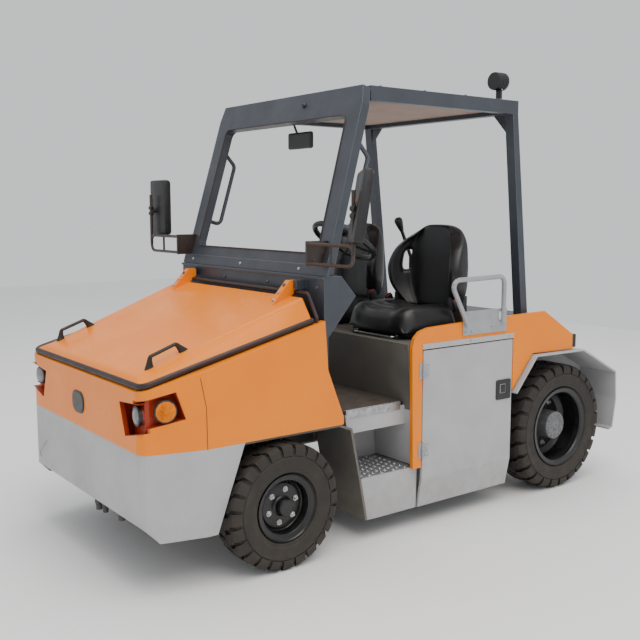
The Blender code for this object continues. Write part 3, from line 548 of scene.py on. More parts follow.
def make_front_rim(side_name, side):
    """Flat pressed disc with a hub cap and six nuts."""
    making = Making()
    half, flange = FRONT["width"] / 2, FRONT["flange"]
    edge, seat = half - 0.006, flange - 0.0215
    outside = [(0.0, half - 0.008), (0.03, half - 0.009), (0.036, half - 0.012),
        (0.039, half - 0.018), (0.04, half - 0.044), (0.047, half - 0.05), (0.094, half - 0.05),
        (0.101, half - 0.053), (0.108, half - 0.062), (0.113, half - 0.058), (0.117, half - 0.04),
        (seat - 0.008, half - 0.022), (seat, half - 0.016), (flange - 0.006, half - 0.012),
        (flange - 0.002, edge), (flange, edge - 0.001), (flange, edge - 0.01), (seat, edge - 0.017),
        (seat, -edge + 0.017), (flange, -edge + 0.01), (flange, -edge),
        (seat - 0.008, -edge + 0.008), (seat - 0.008, half - 0.08), (0.11, half - 0.08),
        (0.04, half - 0.066), (0.0, half - 0.066)]
    lathe(making, outside, side, FRONT, 72, "rim")
    stud_circle(making, side, FRONT, half - 0.05, 0.074, 6, 0.0095, 0.015, turn=0.3)
    making.weld(1e-6)
    node = f"front_rim_{side_name}"
    making.piece(f"{node}_painted", f"front_wheel_{side_name}", 24, [node])


def make_rear_rim(side_name, side):
    """Deep dished rim with its cast hub, nuts and valve."""
    making = Making()
    half, flange = REAR["width"] / 2, REAR["flange"]
    edge, seat = half - 0.006, flange - 0.0215
    dish = [(0.079, half - 0.149), (0.12, half - 0.151), (0.16, half - 0.154), (0.168, half - 0.15),
        (seat - 0.014, half - 0.132), (seat - 0.01, half - 0.12), (seat - 0.01, half - 0.06),
        (seat - 0.013, half - 0.052), (seat - 0.013, half - 0.046), (seat - 0.01, half - 0.038),
        (seat - 0.01, half - 0.022), (seat - 0.004, half - 0.014), (flange - 0.006, half - 0.01),
        (flange - 0.002, edge), (flange, edge - 0.001), (flange, edge - 0.01), (seat, edge - 0.017),
        (seat, -edge + 0.017), (flange, -edge + 0.01), (flange, -edge),
        (seat - 0.01, -edge + 0.008), (seat - 0.01, half - 0.165), (0.12, half - 0.168),
        (0.0, half - 0.168)]
    hub = [(0.0, half - 0.034), (0.02, half - 0.034), (0.026, half - 0.04), (0.05, half - 0.041),
        (0.074, half - 0.042), (0.078, half - 0.046), (0.079, half - 0.149)]
    lathe(making, dish, side, REAR, 80, "rim")
    lathe(making, hub, side, REAR, 48, "iron")
    stud_circle(making, side, REAR, half - 0.042, 0.062, 12, 0.0065, 0.008, "iron")
    stud_circle(making, side, REAR, half - 0.1525, 0.128, 8, 0.0115, 0.018, "zinc", 0.2)
    valve = Vector(ring_point(seat - 0.03, half - 0.135, side, REAR, 2.3))
    making.rod(valve, valve + Vector((side * 0.05, 0, 0.004)), 0.005, "plastic")
    making.weld(1e-6)
    node = f"rear_rim_{side_name}"
    making.piece(f"{node}_painted", f"rear_wheel_{side_name}", 24, [node])


# ---------------------------------------------------------------- seats
def seat_back_point(x, share, height, face):
    """A point of the back: share runs -1 to 1 across it, face is 1 in front and -1 behind."""
    # half the width at each share of the height
    outline = [(0.0, 0.165), (0.1, 0.205), (0.3, 0.243), (0.55, 0.25), (0.78, 0.232), (0.92, 0.188),
        (1.0, 0.13)]
    for (low, a), (high, b) in zip(outline, outline[1:]):
        if height <= high:
            width = a + (b - a) * (height - low) / (high - low)
            break
    sweep = 1.12
    swell = math.sin(math.pi * min(1.0, max(0.0, height * 0.85 + 0.1)))
    forward = 0.135 * (0.35 + 0.65 * swell) * width / 0.25
    angle = share * sweep
    reach = abs(math.sin(angle) / math.sin(sweep))
    along_x = math.copysign(width * reach ** 0.72, share)
    along_y = -forward * ((1 - math.cos(angle)) / (1 - math.cos(sweep))) ** 2.2
    normal = Vector((-math.sin(angle) * 0.9, -math.cos(angle))).normalized()
    bolster = math.exp(-((abs(share) - 0.78) / 0.2) ** 2)
    thick = 0.026 + 0.012 * bolster
    if face > 0 and abs(abs(share) - 0.55) < 0.06:
        thick -= 0.007
    z = 1.045 + 0.445 * height - 0.05 * abs(share) ** 3 * height
    base_y = 1.216 + 0.15 * (z - 1.045) + 0.022 * math.cos(math.pi * height)
    return Vector((x + along_x + face * thick * normal.x, base_y + along_y + face * thick
        * normal.y, z))


def make_seat_back(owner, side):
    """Padded shell: a front and a back skin, joined round the rim and round one opening."""
    making = Making()
    x = side * SEAT_X
    shares = [-1.0, -0.93, -0.85, -0.77, -0.68, -0.59, -0.51, -0.35, -0.12, 0.12, 0.35, 0.51, 0.59,
        0.68, 0.77, 0.85, 0.93, 1.0]
    heights = [0.0, 0.06, 0.16, 0.28, 0.38, 0.46, 0.54, 0.62, 0.7, 0.8, 0.88, 0.95, 1.0]
    points, index = [], {}
    for face in (1, -1):
        for i, height in enumerate(heights):
            for j, share in enumerate(shares):
                index[face, i, j] = len(points)
                points.append(seat_back_point(x, share, height, face))
    last_i, last_j = len(heights) - 1, len(shares) - 1
    holes = {(i, j) for i in (5, 6, 7) for j in (3, 4)}
    faces = []
    for i in range(last_i):
        for j in range(last_j):
            corners = [(i, j), (i, j + 1), (i + 1, j + 1), (i + 1, j)]
            if (i, j) not in holes:
                faces.append([index[1, a, b] for a, b in corners])
                faces.append([index[-1, a, b] for a, b in corners[::-1]])
                continue
            for step, (a, b) in zip([(-1, 0), (0, 1), (1, 0), (0, -1)],
                    zip(corners, corners[1:] + corners[:1])):
                if (i + step[0], j + step[1]) not in holes:
                    faces.append([index[1, *a], index[1, *b], index[-1, *b], index[-1, *a]])
    rim = [(0, j) for j in range(last_j)] + [(i, last_j) for i in range(last_i)]
    rim += [(last_i, j) for j in range(last_j, 0, -1)] + [(i, 0) for i in range(last_i, 0, -1)]
    for a, b in zip(rim, rim[1:] + rim[:1]):
        faces.append([index[1, *a], index[-1, *a], index[-1, *b], index[1, *b]])
    making.faces(points, faces, "vinyl")
    back = making.piece(f"{owner}_backrest", "root", subdivide=2,
        replaces=[f"{owner}_seat_back"])


def make_seat_piping(owner, side):
    """Piping sewn along the bolsters of the back."""
    making = Making()
    x = side * SEAT_X
    for share in (-0.55, 0.55):
        line = [seat_back_point(x, share, 0.06 + 0.9 * i / 24, 1) for i in range(25)]
        making.tube([p + Vector((0, -0.002, 0)) for p in line], 0.0032, "vinyl", 8)
    making.piece(f"{owner}_piping", "root")


def cushion_top(x_share, y_share):
    """What bolsters, a crowned middle and sewn channels add to the cushion's height."""
    bolster = 0.018 * math.exp(-((abs(x_share) - 0.72) / 0.2) ** 2)
    crown = 0.012 * (1 - (2 * y_share - 1) ** 2)
    channel = 0.0
    if abs(x_share) < 0.6:
        channel = 0.007 * abs(math.sin(math.pi * (y_share * 5.0 + 0.35 * x_share ** 2))) - 0.007
    return bolster + crown + channel


def make_cushion(owner, side):
    """Padded cushion: a shaped top, rounded edges and a drawn-in skirt."""
    making = Making()
    x = side * SEAT_X
    low_y, high_y, half = 0.798, 1.15, 0.238
    across, along = 30, 40
    rows = []
    for i in range(along + 1):
        v = i / along
        row = []
        for j in range(across + 1):
            u = 2 * j / across - 1
            corner = max(0.0, abs(u) - 0.8) / 0.2
            front = max(0.0, 0.22 - v) / 0.22
            rear = max(0.0, v - 0.9) / 0.1
            fall = 0.06 * (1 - math.sqrt(max(0.0, 1 - corner ** 2)))
            fall += 0.06 * (1 - math.sqrt(max(0.0, 1 - front ** 2)))
            fall += 0.03 * (1 - math.sqrt(max(0.0, 1 - rear ** 2)))
            narrow = 1 - 0.1 * front ** 2 - 0.04 * rear
            y = low_y + (high_y - low_y) * v - 0.02 * (1 - u * u) * (1 - v)
            row.append((x + half * u * narrow, y + 0.016, 1.06 + cushion_top(u, v) - fall))
        rows.append(row)
    top = making.grid(rows, "vinyl")
    width = across + 1
    edge = [*range(across)] + [i * width + across for i in range(along)]
    edge += [along * width + j for j in range(across, 0, -1)] + [i * width for i in range(along, 0,
        -1)]
    middle = Vector((x, (low_y + high_y) / 2, 0))
    rings = [[top[k].co.copy() for k in edge]]
    for drop, inset in ((0.012, -0.004), (0.03, -0.007), (0.05, -0.005), (0.062, 0.004),
            (0.064, 0.014)):
        ring = []
        for point in rings[0]:
            away = Vector((point.x - middle.x, point.y - middle.y, 0)).normalized()
            ring.append(Vector((*(point - away * inset).xy, max(point.z - drop, 0.962))))
        rings.append(ring)
    making.grid(rings, "vinyl", closed=True)
    bottom = rings[-1]
    making.faces(bottom, [tuple(range(len(bottom)))], "vinyl")
    making.weld(1e-5)
    cushion = making.piece(f"{owner}_cushion", "root", subdivide=1,
        replaces=[f"{owner}_seat_cushion"])


def make_seat_base(owner, side):
    """Slide rails, pan, recliner plates, buckles and latch wire under a cushion."""
    making = Making()
    x = side * SEAT_X
    making.box((x - 0.215, 0.835, 0.94), (x + 0.215, 1.245, 0.966), "plastic", 0.008)
    making.box((x - 0.19, 1.15, 0.96), (x + 0.19, 1.262, 1.04), "plastic", 0.012)
    for rail in (-0.155, 0.155):
        making.box((x + rail - 0.018, 0.805, SEAT_BOX_Z + 0.0006), (x + rail + 0.018, 1.255, 0.941),
            "black", 0.003)
        making.bolts([(x + rail, y, 0.9412) for y in (0.822, 1.248)], UP, 0.006)
        making.box((x + rail * 1.32 - 0.006, 1.13, 0.965), (x + rail * 1.32 + 0.006, 1.262, 1.12),
            "black", 0.003)
        making.bolt((x + rail * 1.32 + math.copysign(0.006, rail), 1.215, 1.0),
            (math.copysign(1, rail), 0, 0), 0.009)
    wire = [(x - 0.15, 0.845, 0.935), (x - 0.15, 0.79, 0.938), (x + 0.15, 0.79, 0.938),
        (x + 0.15, 0.845, 0.935)]
    making.tube(rounded(wire, 0.02), 0.005, "zinc", 8)
    for hip, top in ((0.258, 1.085), (-0.258, 1.075)):
        foot, head = Vector((x + hip, 1.18, 0.955)), Vector((x + hip, 1.135, top))
        making.tube([foot, foot.lerp(head, 0.5) + Vector((0, 0.004, 0)),
            head - Vector((0, -0.012, 0.028))], 0.012, "plastic", 8, squash=0.35, up=(1, 0, 0))
        turn = placed(head, 20)
        making.box((-0.011, -0.022, -0.03), (0.011, 0.022, 0.024), "plastic", 0.004, turn)
        making.box((-0.0085, -0.017, 0.016), (0.0085, 0.017, 0.032), "buckle", 0.003, turn)
    making.piece(f"{owner}_seat_base")


# ---------------------------------------------------------------- nose, lid and lamps
def make_lid_seal():
    """Rubber trim on the lid's lower edge, and the seal on the cowl behind the lid."""
    making = Making()
    route = [(0.648, 0.18), (0.6015, -0.6255), (-0.6015, -0.6255), (-0.648, 0.18)]
    flat = rounded([(x, y, 0) for x, y in route], 0.04, 8)
    dense = []
    for a, b in zip(flat, flat[1:]):
        count = max(1, int((b - a).length / 0.08))
        dense += [a.lerp(b, i / count) for i in range(count)]
    dense.append(flat[-1])
    line = [Vector((p.x, p.y, shoulder_z(p.y) + 0.0145)) for p in dense]
    making.tube(line, 0.0105, "seal", 14, squash=1.3)
    making.piece("lid_edge_trim", "bonnet")
    making = Making()
    rear = [(x, 0.196, z) for x, z in ((0.65, 1.078), (0.655, 1.095), (0.6, 1.187), (0.585, 1.199))]
    arch = rear + [(-x, y, z) for x, y, z in rear[::-1]]
    making.tube(rounded(arch, 0.006), 0.009, "seal", 10, up=(0, 1, 0))
    making.piece("cowl_seal")


def make_lid_fittings():
    """Bolts in the hinge leaves, and the moulded feet of the two pull handles."""
    making = Making()
    along = Vector((0, 0.108, 0.116)).normalized()
    out = Vector((0, -along.z, along.y))
    foot = Vector((0, 0.06, 1.136))
    for side in SIDES.values():
        for share in (0.04, 0.085, 0.13):
            place = foot + along * share + Vector((side * 0.473, 0, 0))
            making.bolt(place + out * 0.0005, out, 0.007, "zinc" if share < 0.1 else "charcoal")
        x = side * 0.49
        up = Vector((0, -LID_SLOPE, 1)).normalized()
        way = Vector((0, 1, LID_SLOPE)).normalized()
        for y, turn in ((-0.536, 1), (-0.378, -1)):
            base = Vector((x, y, lid_z(y)))
            rows = []
            for rise, wide, long, shift in ((0.0006, 0.014, 0.022, 0.0),
                    (0.006, 0.012, 0.019, 0.002), (0.026, 0.009, 0.013, 0.012),
                    (0.044, 0.0085, 0.01, 0.022)):
                centre = base + up * rise + way * (turn * shift)
                rows.append([centre + Vector((wide * c, 0, 0)) + way * (long * s)
                    for c, s in circle(16)])
            making.grid(rows, "plastic", closed=True, caps=True)
    making.piece("lid_fittings", "bonnet")


def make_lamps(side_name, side):
    """Headlamp and indicator lenses, and liners that close their pocket."""
    making = Making()
    ahead = Vector((-side * 0.11, -1, 0)).normalized()
    lamp = Vector((side * 0.5452, -0.6205, 0.752))
    making.turned([(0.044, -0.01), (0.044, 0.0036), (0.041, 0.006), (0.037, 0.006), (0.036, 0.001)],
        lamp, ahead, "plastic", 40)
    making.dome(lamp + ahead * 0.004, ahead, 0.0365, 0.01, "clear", 40)
    outward = Vector((side * 0.981, -0.196, 0))
    indicator = Vector((side * 0.64, -0.541, 0.775))
    making.turned([(0.0475, -0.012), (0.0475, 0.0015), (0.044, 0.003)], indicator, outward,
        "plastic", 36)
    making.turned([(0.0425, 0.001), (0.0425, 0.005), (0.037, 0.0085), (0.014, 0.0105),
        (0.0, 0.0108)], indicator, outward, "amber", 12)
    for c, s in circle(12):
        reach = Vector((0, c, s))
        making.rod(indicator + outward * 0.0075 + reach * 0.036, indicator + outward * 0.0108
            + reach * 0.01, 0.0018, "amber", 6)
    # the liners and walls take the pocket finish: a darker orange that is painted shade inside the
    # pocket
    front = [(0.394, -0.618), (0.394, -0.574), (0.585, -0.605), (0.6, -0.618)]
    flank = [(0.601, -0.61), (0.594, -0.59), (0.581, -0.46), (0.6355, -0.46)]
    for corners, rises in ((front, ((0.656, 0.468, 0.236), (0.79, 0.394, 0.0923))),
            (flank, ((0.697, -0.67, 0.179), (0.812, -0.67, 0.218)))):
        for index, (z, start, slope) in enumerate(rises):
            pair = []
            for lift in ((-0.004, 0.0) if index == 0 else (0.0, 0.004)):
                pair.append(
                    [(side * x, y, z + lift + slope * ((x if corners is front else y) - start))
                    for x, y in corners])
            making.grid(pair, "pocket", closed=True, caps=True)
    paths = ([(0.6085, 0.6892), (0.468, 0.656), (0.42, 0.793), (0.6085, 0.8104)],
        [(-0.6185, 0.7062), (-0.458, 0.735), (-0.496, 0.85), (-0.6185, 0.8232)])
    for on_flank, path in enumerate(paths):
        middle = [sum(c) / 4 for c in zip(*path)]
        rows = []
        for a, z in path:
            row = []
            for inset, depth in ((0.0006, 0.0004), (0.0006, 0.0205), (0.0022, 0.0205),
                    (0.0022, 0.0004)):
                b, up = (v - math.copysign(inset, v - m) for v, m in zip((a, z), middle))
                row.append((side * (flank_x(b) - depth), b, up) if on_flank
                    else (side * b, NOSE_Y + depth, up))
            rows.append(row)
        making.grid(rows, "pocket", closed=True, caps=True)
    making.box((side * 0.39, -0.618, 0.64), (side * 0.396, -0.573, 0.81), "pocket")
    making.box((side * 0.58, -0.464, 0.715), (side * 0.6355, -0.458, 0.87), "pocket")
    making.piece(f"lamp_lenses_{side_name}", "root")


def make_nose_trim():
    """Blank badge in its dark rim, stubs under the bumper, the flanks' seams, and a ledge that
    closes the gap under each side of the lid."""
    making = Making()
    for low, high, start, end, corner, finish in (((-0.086, 0.663), (0.046, 0.763), 0.003, 0.0003,
            0.042, "plastic"), ((-0.079, 0.67), (0.039, 0.756), 0.005, 0.0028, 0.037, "badge")):
        making.prism(rounded_outline(low, high, corner, 8), NOSE_Y - start, NOSE_Y - end, finish,
            "Y")
    for x, z, radius, reach in ((0.085, 0.262, 0.015, 0.03), (0.155, 0.268, 0.013, 0.03),
            (0.326, 0.285, 0.017, 0.034), (-0.52, 0.29, 0.011, 0.022)):
        making.rod((x, -0.6, z), (x, -0.6, z - reach), radius, "black")
        making.rod((x, -0.6, z + 0.045), (x, -0.6, z), radius * 1.35, "black", 6)
    for side in SIDES.values():
        seam = [(-0.399, 0.899), (-0.376, 0.773), (-0.3735, 0.602)]
        making.tube([(side * (min(HALF_WIDTH, flank_x(y)) + 0.0002), y, z) for y, z in seam],
            0.0013, "seal", 8)
        ledge = [(side * 0.59, 0.19), (side * 0.59, -0.575), (side * 0.632, -0.36),
            (side * 0.66, 0.19)]
        making.grid([[(x, y, shoulder_z(y) - drop) for x, y in ledge] for drop in (0.0045, 0.0006)],
            "orange", closed=True, caps=True)
    making.piece("nose_badge_and_stubs", "root")


def make_battery_top():
    """Cell lids, vent plugs and links on the battery, which show when the bonnet is open."""
    making = Making()
    low, high = (Vector(corner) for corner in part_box("battery_block"))
    low.y, high.y, top = low.y - AXLE_Y + 0.02, high.y - AXLE_Y - 0.02, high.z + 0.0003
    across, along = 6, 4
    cell = Vector(((high.x - low.x - 0.04) / across, (high.y - low.y) / along))
    for i in range(across):
        for j in range(along):
            x, y = low.x + 0.02 + cell.x * (i + 0.5), low.y + cell.y * (j + 0.5)
            making.box((x - cell.x / 2 + 0.002, y - cell.y / 2 + 0.002, top),
                (x + cell.x / 2 - 0.002, y + cell.y / 2 - 0.002, top + 0.004), "plastic", 0.0015)
            making.turned([(0.016, 0.003), (0.015, 0.01), (0.006, 0.012)], (x, y, top), UP, "mat",
                16)
            for end in (-0.05, 0.05):
                making.turned([(0.01, 0.003), (0.009, 0.008)], (x, y + end, top), UP, "zinc", 12)
            if j + 1 < along:
                making.box((x - 0.007, y + 0.046, top + 0.0075),
                    (x + 0.007, y + cell.y - 0.046, top + 0.0105), "black", 0.001)
    making.piece("battery_cells")


# ---------------------------------------------------------------- cab
def make_screen_fittings():
    """Bolts along the foot of the windscreen frame and the plug of the wiper spindle."""
    making = Making()
    z = 1.299
    making.bolts([(x, screen_y(z) - 0.0046, z) for x in (-0.557, -0.07, 0.439)], SCREEN_OUT, 0.006)
    making.bolts([(x, 0.2397, 1.225) for x in (-0.6, -0.2, 0.2, 0.6)], (0, -1, 0), 0.0065,
        "charcoal")
    z = 2.072
    making.dome((0.174, screen_y(z) - 0.0004, z), SCREEN_OUT, 0.013, 0.016, "plastic", 20)
    making.piece("screen_fittings", "root")


def make_screen_gasket():
    """Rubber edging round the open windscreen."""
    making = Making()
    foot = 1.275
    lean = placed((0, screen_y(foot), foot), -math.degrees(math.atan(SCREEN_LEAN)))
    rise = math.hypot(1, SCREEN_LEAN)
    low_z, high_z = (1.372 - foot) * rise, (2.0 - foot) * rise
    middle = (low_z + high_z) / 2
    loop = upright_ring(0.538, low_z, high_z, 0.035, 6)
    ring = [lean @ Vector((p.x * (1 - 0.055 * (p.z - middle)), -0.001, p.z)) for p in loop]
    making.tube(ring, 0.0035, "seal", 8, closed=True, up=(0, 1, 0))
    making.piece("screen_gasket")


def make_floor_mat():
    """Rubber mat with its aluminium nosings over the two floor lips."""
    making = Making()
    making.box((-0.5885, 0.266, 0.6303), (0.5885, 0.768, 0.636), "mat", 0.002)
    for side in SIDES.values():
        making.box((side * 0.5895, 0.404, 0.6175), (side * 0.6045, 0.742, 0.6375), "tread")
        making.box((side * 0.6025, 0.404, 0.6), (side * 0.6055, 0.742, 0.6375), "tread")
        making.rod((side * 0.5975, 0.404, 0.6376), (side * 0.5975, 0.742, 0.6376), 0.0022, "tread",
            8)
    making.piece("floor_mat_and_nosings")


def make_step_tread(side_name, side):
    """Dimpled grip plate: rows of raised rings, each with a black disc as painted shade for its
    drain hole.
    """
    making = Making()
    low_x, high_x, low_y, high_y, z = 0.36, 0.6465, 0.468, 0.7985, STEP_Z
    making.box((side * low_x, low_y, z), (side * high_x, high_y, z + 0.0035), "tread", 0.0012)
    pitch = SETTINGS["trim"].button_pitch
    rows = int((high_y - low_y - 0.03) / pitch)
    columns = int((high_x - low_x - 0.03) / pitch)
    for i in range(rows + 1):
        for j in range(columns + 1):
            stagger = pitch / 2 if i % 2 else 0.0
            x = low_x + 0.022 + j * pitch + stagger
            y = low_y + 0.02 + i * pitch
            if x > high_x - 0.016 or y > high_y - 0.014:
                continue
            top = z + 0.0035
            making.turned([(0.0125, -0.0005), (0.011, 0.0022), (0.0085, 0.0034), (0.006, 0.0024),
                (0.005, 0.0004)], (side * x, y, top), UP, "tread", 18)
            # painted shade: a black disc stands in for the dark of the drain hole
            making.turned([(0.0049, -0.0004), (0.004, 0.0006)], (side * x, y, top), UP, "black", 12)
    wall = [(0.316, 0.8003), (0.598, 0.7728), (0.598, 0.7722), (0.316, 0.7994)]
    making.prism([(y, z) for z, y in wall], side * 0.356, side * 0.6465, "grey")
    making.piece(f"step_tread_{side_name}", "root")


def make_door_fittings(side_name, side):
    """The strip over the door and its hinges, and the flush latch that moves with the door."""
    fixed = Making()
    face, x, y = side * (HALF_WIDTH + PROUD), side * HINGE_X, HINGE_Y
    fixed.box((face, 0.82, 0.8965), (face + side * 0.0025, 1.476, 0.9235), "grey")
    fixed.bolts([(face + side * 0.0025, y, 0.91) for y in (0.86, 1.15, 1.44)], (side, 0, 0), 0.0045)
    for z in HINGE_HEIGHTS:
        fixed.rod((x, y, z - 0.038), (x, y, z - 0.0135), 0.0075, "silver")
        fixed.rod((x, y, z + 0.0135), (x, y, z + 0.038), 0.0075, "silver")
        fixed.box((x - side * 0.0075, 0.799, z - 0.038), (x - side * 0.004, 0.822, z + 0.038),
            "silver", 0.001)
    fixed.piece(f"door_frame_trim_{side_name}", "root")
    making = Making()
    for z in HINGE_HEIGHTS:
        making.rod((x, y, z - 0.013), (x, y, z + 0.013), 0.0075, "silver")
        making.box((face, 0.828, z - 0.03), (face + side * 0.004, 0.862, z + 0.03), "silver", 0.001)
        making.bolts([(face + side * 0.004, 0.846, z + k) for k in (-0.018, 0.018)], (side, 0, 0),
            0.0045)
    outline = rounded_outline((1.348, 0.577), (1.458, 0.682), 0.01)
    making.prism(outline, face, face + side * 0.005, "plastic")
    inner = rounded_outline((1.36, 0.589), (1.446, 0.67), 0.008)
    making.prism(inner, face + side * 0.0045, face + side * 0.0062, "black")
    making.box((face + side * 0.0055, 1.372, 0.612), (face + side * 0.01, 1.412, 0.66), "plastic",
        0.002)
    making.rod((face + side * 0.005, 1.428, 0.606), (face + side * 0.0095, 1.428, 0.606), 0.008,
        "plastic", 20)
    making.piece(f"door_fittings_{side_name}", f"side_door_{side_name}")


def make_handrail_fittings(side_name, side):
    """Bolts and a blank label on the plate between the rail's legs."""
    making = Making()
    face = side * 0.6832
    making.bolts([(face, y, z) for y, z in ((1.106, 0.957), (1.302, 0.972), (1.15, 0.957))],
        (side, 0, 0), 0.006)
    making.box((face, 1.352, 1.003), (face + side * 0.0006, 1.402, 1.045), "label")
    making.piece(f"handrail_fittings_{side_name}", "root")


def make_mirror_glass(side_name, side):
    """Silvered plate, rim, back shell and clamps of a mirror head. The driver's is turned, and has
    an amber reflector on its back."""
    making = Making()
    reach = 0.9047 if side > 0 else -0.897
    tilt, turn = (-11, -30) if side > 0 else (0, 0)
    place = placed((reach, 0.232, 1.578), tilt) @ placed((0, 0, 0), turn, "Z")
    rim = upright_ring(0.081, -0.146, 0.146, 0.014, 5)
    making.tube([place @ Vector((p.x, 0.021, p.z)) for p in rim], 0.004, "plastic", 8, closed=True,
        up=(0, 1, 0))
    making.box((-0.0908, -0.0208, -0.1558), (0.0908, 0.0208, 0.1558), "plastic", 0.015, place)
    making.box((-0.079, 0.019, -0.144), (0.079, 0.022, 0.144), "mirror", 0.0008, place)
    if side > 0:
        making.box((-0.026, -0.0235, -0.02), (0.026, -0.0195, 0.032), "amber", 0.0015, place)
    for z in (1.545, 1.575):
        making.rod((side * 0.906, 0.185, z), (side * 0.934, 0.185, z), 0.012, "plastic", 12)
    making.bolts([(side * 0.6065, 0.215, z) for z in (1.345, 1.41)], (side, 0, 0), 0.006, "strap")
    making.piece(f"mirror_glass_{side_name}")


def make_steering_trim():
    """Grip ring waved for the fingers, spokes, and the boss with its blank cap."""
    making = Making()
    place = placed(WHEEL_CENTRE, -COLUMN_TILT)
    rim, around, waves = 0.16, 72, 36
    rows = []
    for i in range(around):
        angle = 2 * math.pi * i / around
        bulge = 0.0142 - 0.0012 * max(0.0, math.cos(angle * waves))
        rows.append([((rim + bulge * c) * math.cos(angle), (rim + bulge * c) * math.sin(angle),
            bulge * s) for c, s in circle(12)])
    making.grid(rows, "plastic", around=True, closed=True, place=place)
    for angle in (0, 120, 240):
        turn = place @ placed((0, 0, 0), angle - 90, "Z")
        rows = []
        for out, half, rise in ((0.028, 0.021, -0.004), (0.07, 0.0165, -0.007),
                (0.12, 0.014, -0.01), (0.152, 0.017, -0.008)):
            rows.append([(out, half * c, rise + 0.0055 * s) for c, s in circle(12)])
        making.grid(rows, "plastic", closed=True, caps=True, place=turn)
    axis = place.to_3x3() @ Vector(UP)
    making.turned([(0.034, -0.055), (0.037, -0.045), (0.04, 0.0), (0.036, 0.01), (0.024, 0.0145),
        (0.0, 0.0155)], WHEEL_CENTRE, axis, "plastic", 36)
    making.piece("steering_wheel_grip", "steering_wheel", replaces=["steering_wheel"])


def make_dash():
    """Dials, switches, key and pedals on the cowl's rear face, and the shroud on the column."""
    making = Making()
    low, high = Vector((0, 0.262, 1.0)), Vector((0, 0.42, 1.18))
    along = (high - low).normalized()
    out = Vector((0, along.z, -along.y))
    top = Vector((0, 0.335, 1.2747))
    way = (top - high).normalized()
    face = Vector((0, way.z, -way.y))
    middle = high.lerp(top, 0.5) + face * 0.0004
    for x in (0.12, 0.035):
        centre = middle + Vector((x, 0, 0))
        making.turned([(0.036, 0), (0.036, 0.006), (0.032, 0.008), (0.031, 0.003)], centre, face,
            "plastic", 36)
        making.dome(centre + face * 0.002, face, 0.03, 0.002, "clear", 32)
    for k in range(6):
        turn = Matrix(((1, 0, 0), way, face)).transposed().to_4x4()
        basis = Matrix.Translation(middle + Vector((-0.06 - 0.045 * k, 0, 0))) @ turn
        making.box((-0.015, -0.024, 0), (0.015, 0.024, 0.005), "plastic", 0.002, basis)
        making.box((-0.01, -0.018, 0.004), (0.01, 0.018, 0.01), "black", 0.003, basis)
    key = low.lerp(high, 0.7) + Vector((0.47, 0, 0)) + out * 0.0006
    making.turned([(0.014, 0), (0.014, 0.006), (0.01, 0.008)], key, out, "zinc", 24)
    making.box(key + out * 0.008 - Vector((0.002, 0.01, 0.01)), key + out * 0.026
        + Vector((0.002, 0.006, 0.006)), "plastic", 0.002)
    column = placed((0, 0, 0), -COLUMN_TILT) @ Vector(UP)
    making.turned([(0.052, 0), (0.05, 0.02), (0.038, 0.06), (0.034, 0.062)], WHEEL_CENTRE - column
        * 0.205, column, "plastic")
    for x, wide, long in ((0.25, 0.045, 0.06), (0.42, 0.035, 0.09)):
        pedal = placed((x, 0.33, 0.712), -38)
        making.box((-wide, -0.006, -long), (wide, 0.006, long), "plastic", 0.004, pedal)
        for k in range(-3, 4):
            making.box((-wide * 0.85, 0.005, k * long / 4 - 0.003),
                (wide * 0.85, 0.0085, k * long / 4 + 0.003), "mat", 0.001, pedal)
        making.rod((x, 0.318, 0.712), (x, 0.264, 0.76), 0.008, "black")
    making.piece("dash_and_pedals")


def make_lever_trim():
    """Boot and knob of the direction lever between the seats."""
    making = Making()
    making.turned([(0.048, 0.0), (0.046, 0.006), (0.036, 0.01), (0.04, 0.02), (0.028, 0.026),
        (0.032, 0.036), (0.02, 0.044), (0.022, 0.054), (0.0108, 0.064)],
        (0.02, 1.34, SEAT_BOX_Z + 0.0004), UP, "plastic", 28)
    axis = Vector((0, -0.095, 0.2)).normalized()
    top = Vector((0.02, 1.245, 1.5))
    making.turned([(0.0105, -0.06), (0.0145, -0.045), (0.02, -0.02), (0.0235, 0.0), (0.0225, 0.012),
        (0.015, 0.021), (0.0, 0.024)], top, axis, "plastic", 24)
    making.piece("lever_boot_and_knob")


def make_roof_trim():
    """Ribbed skin, roof bolts, and the work lamp's lens and heat fins."""
    making = Making()
    making.bolts([(side * 0.5785, y, ROOF_Z) for side in SIDES.values() for y in (0.62, 0.9, 1.18,
        1.44)], UP, 0.007, "charcoal")
    low, high = (Vector(corner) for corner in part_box("roof_panel"))
    front, rear, top = low.y - AXLE_Y + 0.004, high.y - AXLE_Y - 0.004, high.z + 0.0004
    making.box((low.x + 0.004, front, top), (high.x - 0.004, rear, top + 0.003), "charcoal", 0.001)
    for k in range(-3, 4):
        making.box((k * 0.14 - 0.022, front + 0.06, top + 0.002),
            (k * 0.14 + 0.022, rear - 0.06, top + 0.0085), "charcoal", 0.005)
    lamp = Vector((0.5, 1.535, 2.236))
    making.turned([(0.0465, -0.012), (0.0465, 0.004), (0.043, 0.006), (0.04, 0.001)], lamp,
        (0, 1, 0), "plastic", 40)
    making.dome(lamp + Vector((0, 0.001, 0)), (0, 1, 0), 0.0395, 0.004, "clear", 36)
    for k in range(5):
        making.turned([(0.03, 0), (0.0462, 0.001), (0.0462, 0.0025), (0.03, 0.0035)],
            (0.5, 1.475 + 0.011 * k, 2.236), (0, 1, 0), "plastic", 36)
    making.rod((0.478, 1.5125, 2.196), (0.522, 1.5125, 2.196), 0.006, "zinc", 10)
    making.bolt((0.5, 1.538, ROOF_Z), UP, 0.006)
    making.turned([(0.009, 0), (0.008, 0.01), (0.003, 0.012)], (0.5, 1.5125, 2.198), UP, "plastic",
        16)
    making.piece("roof_fittings")


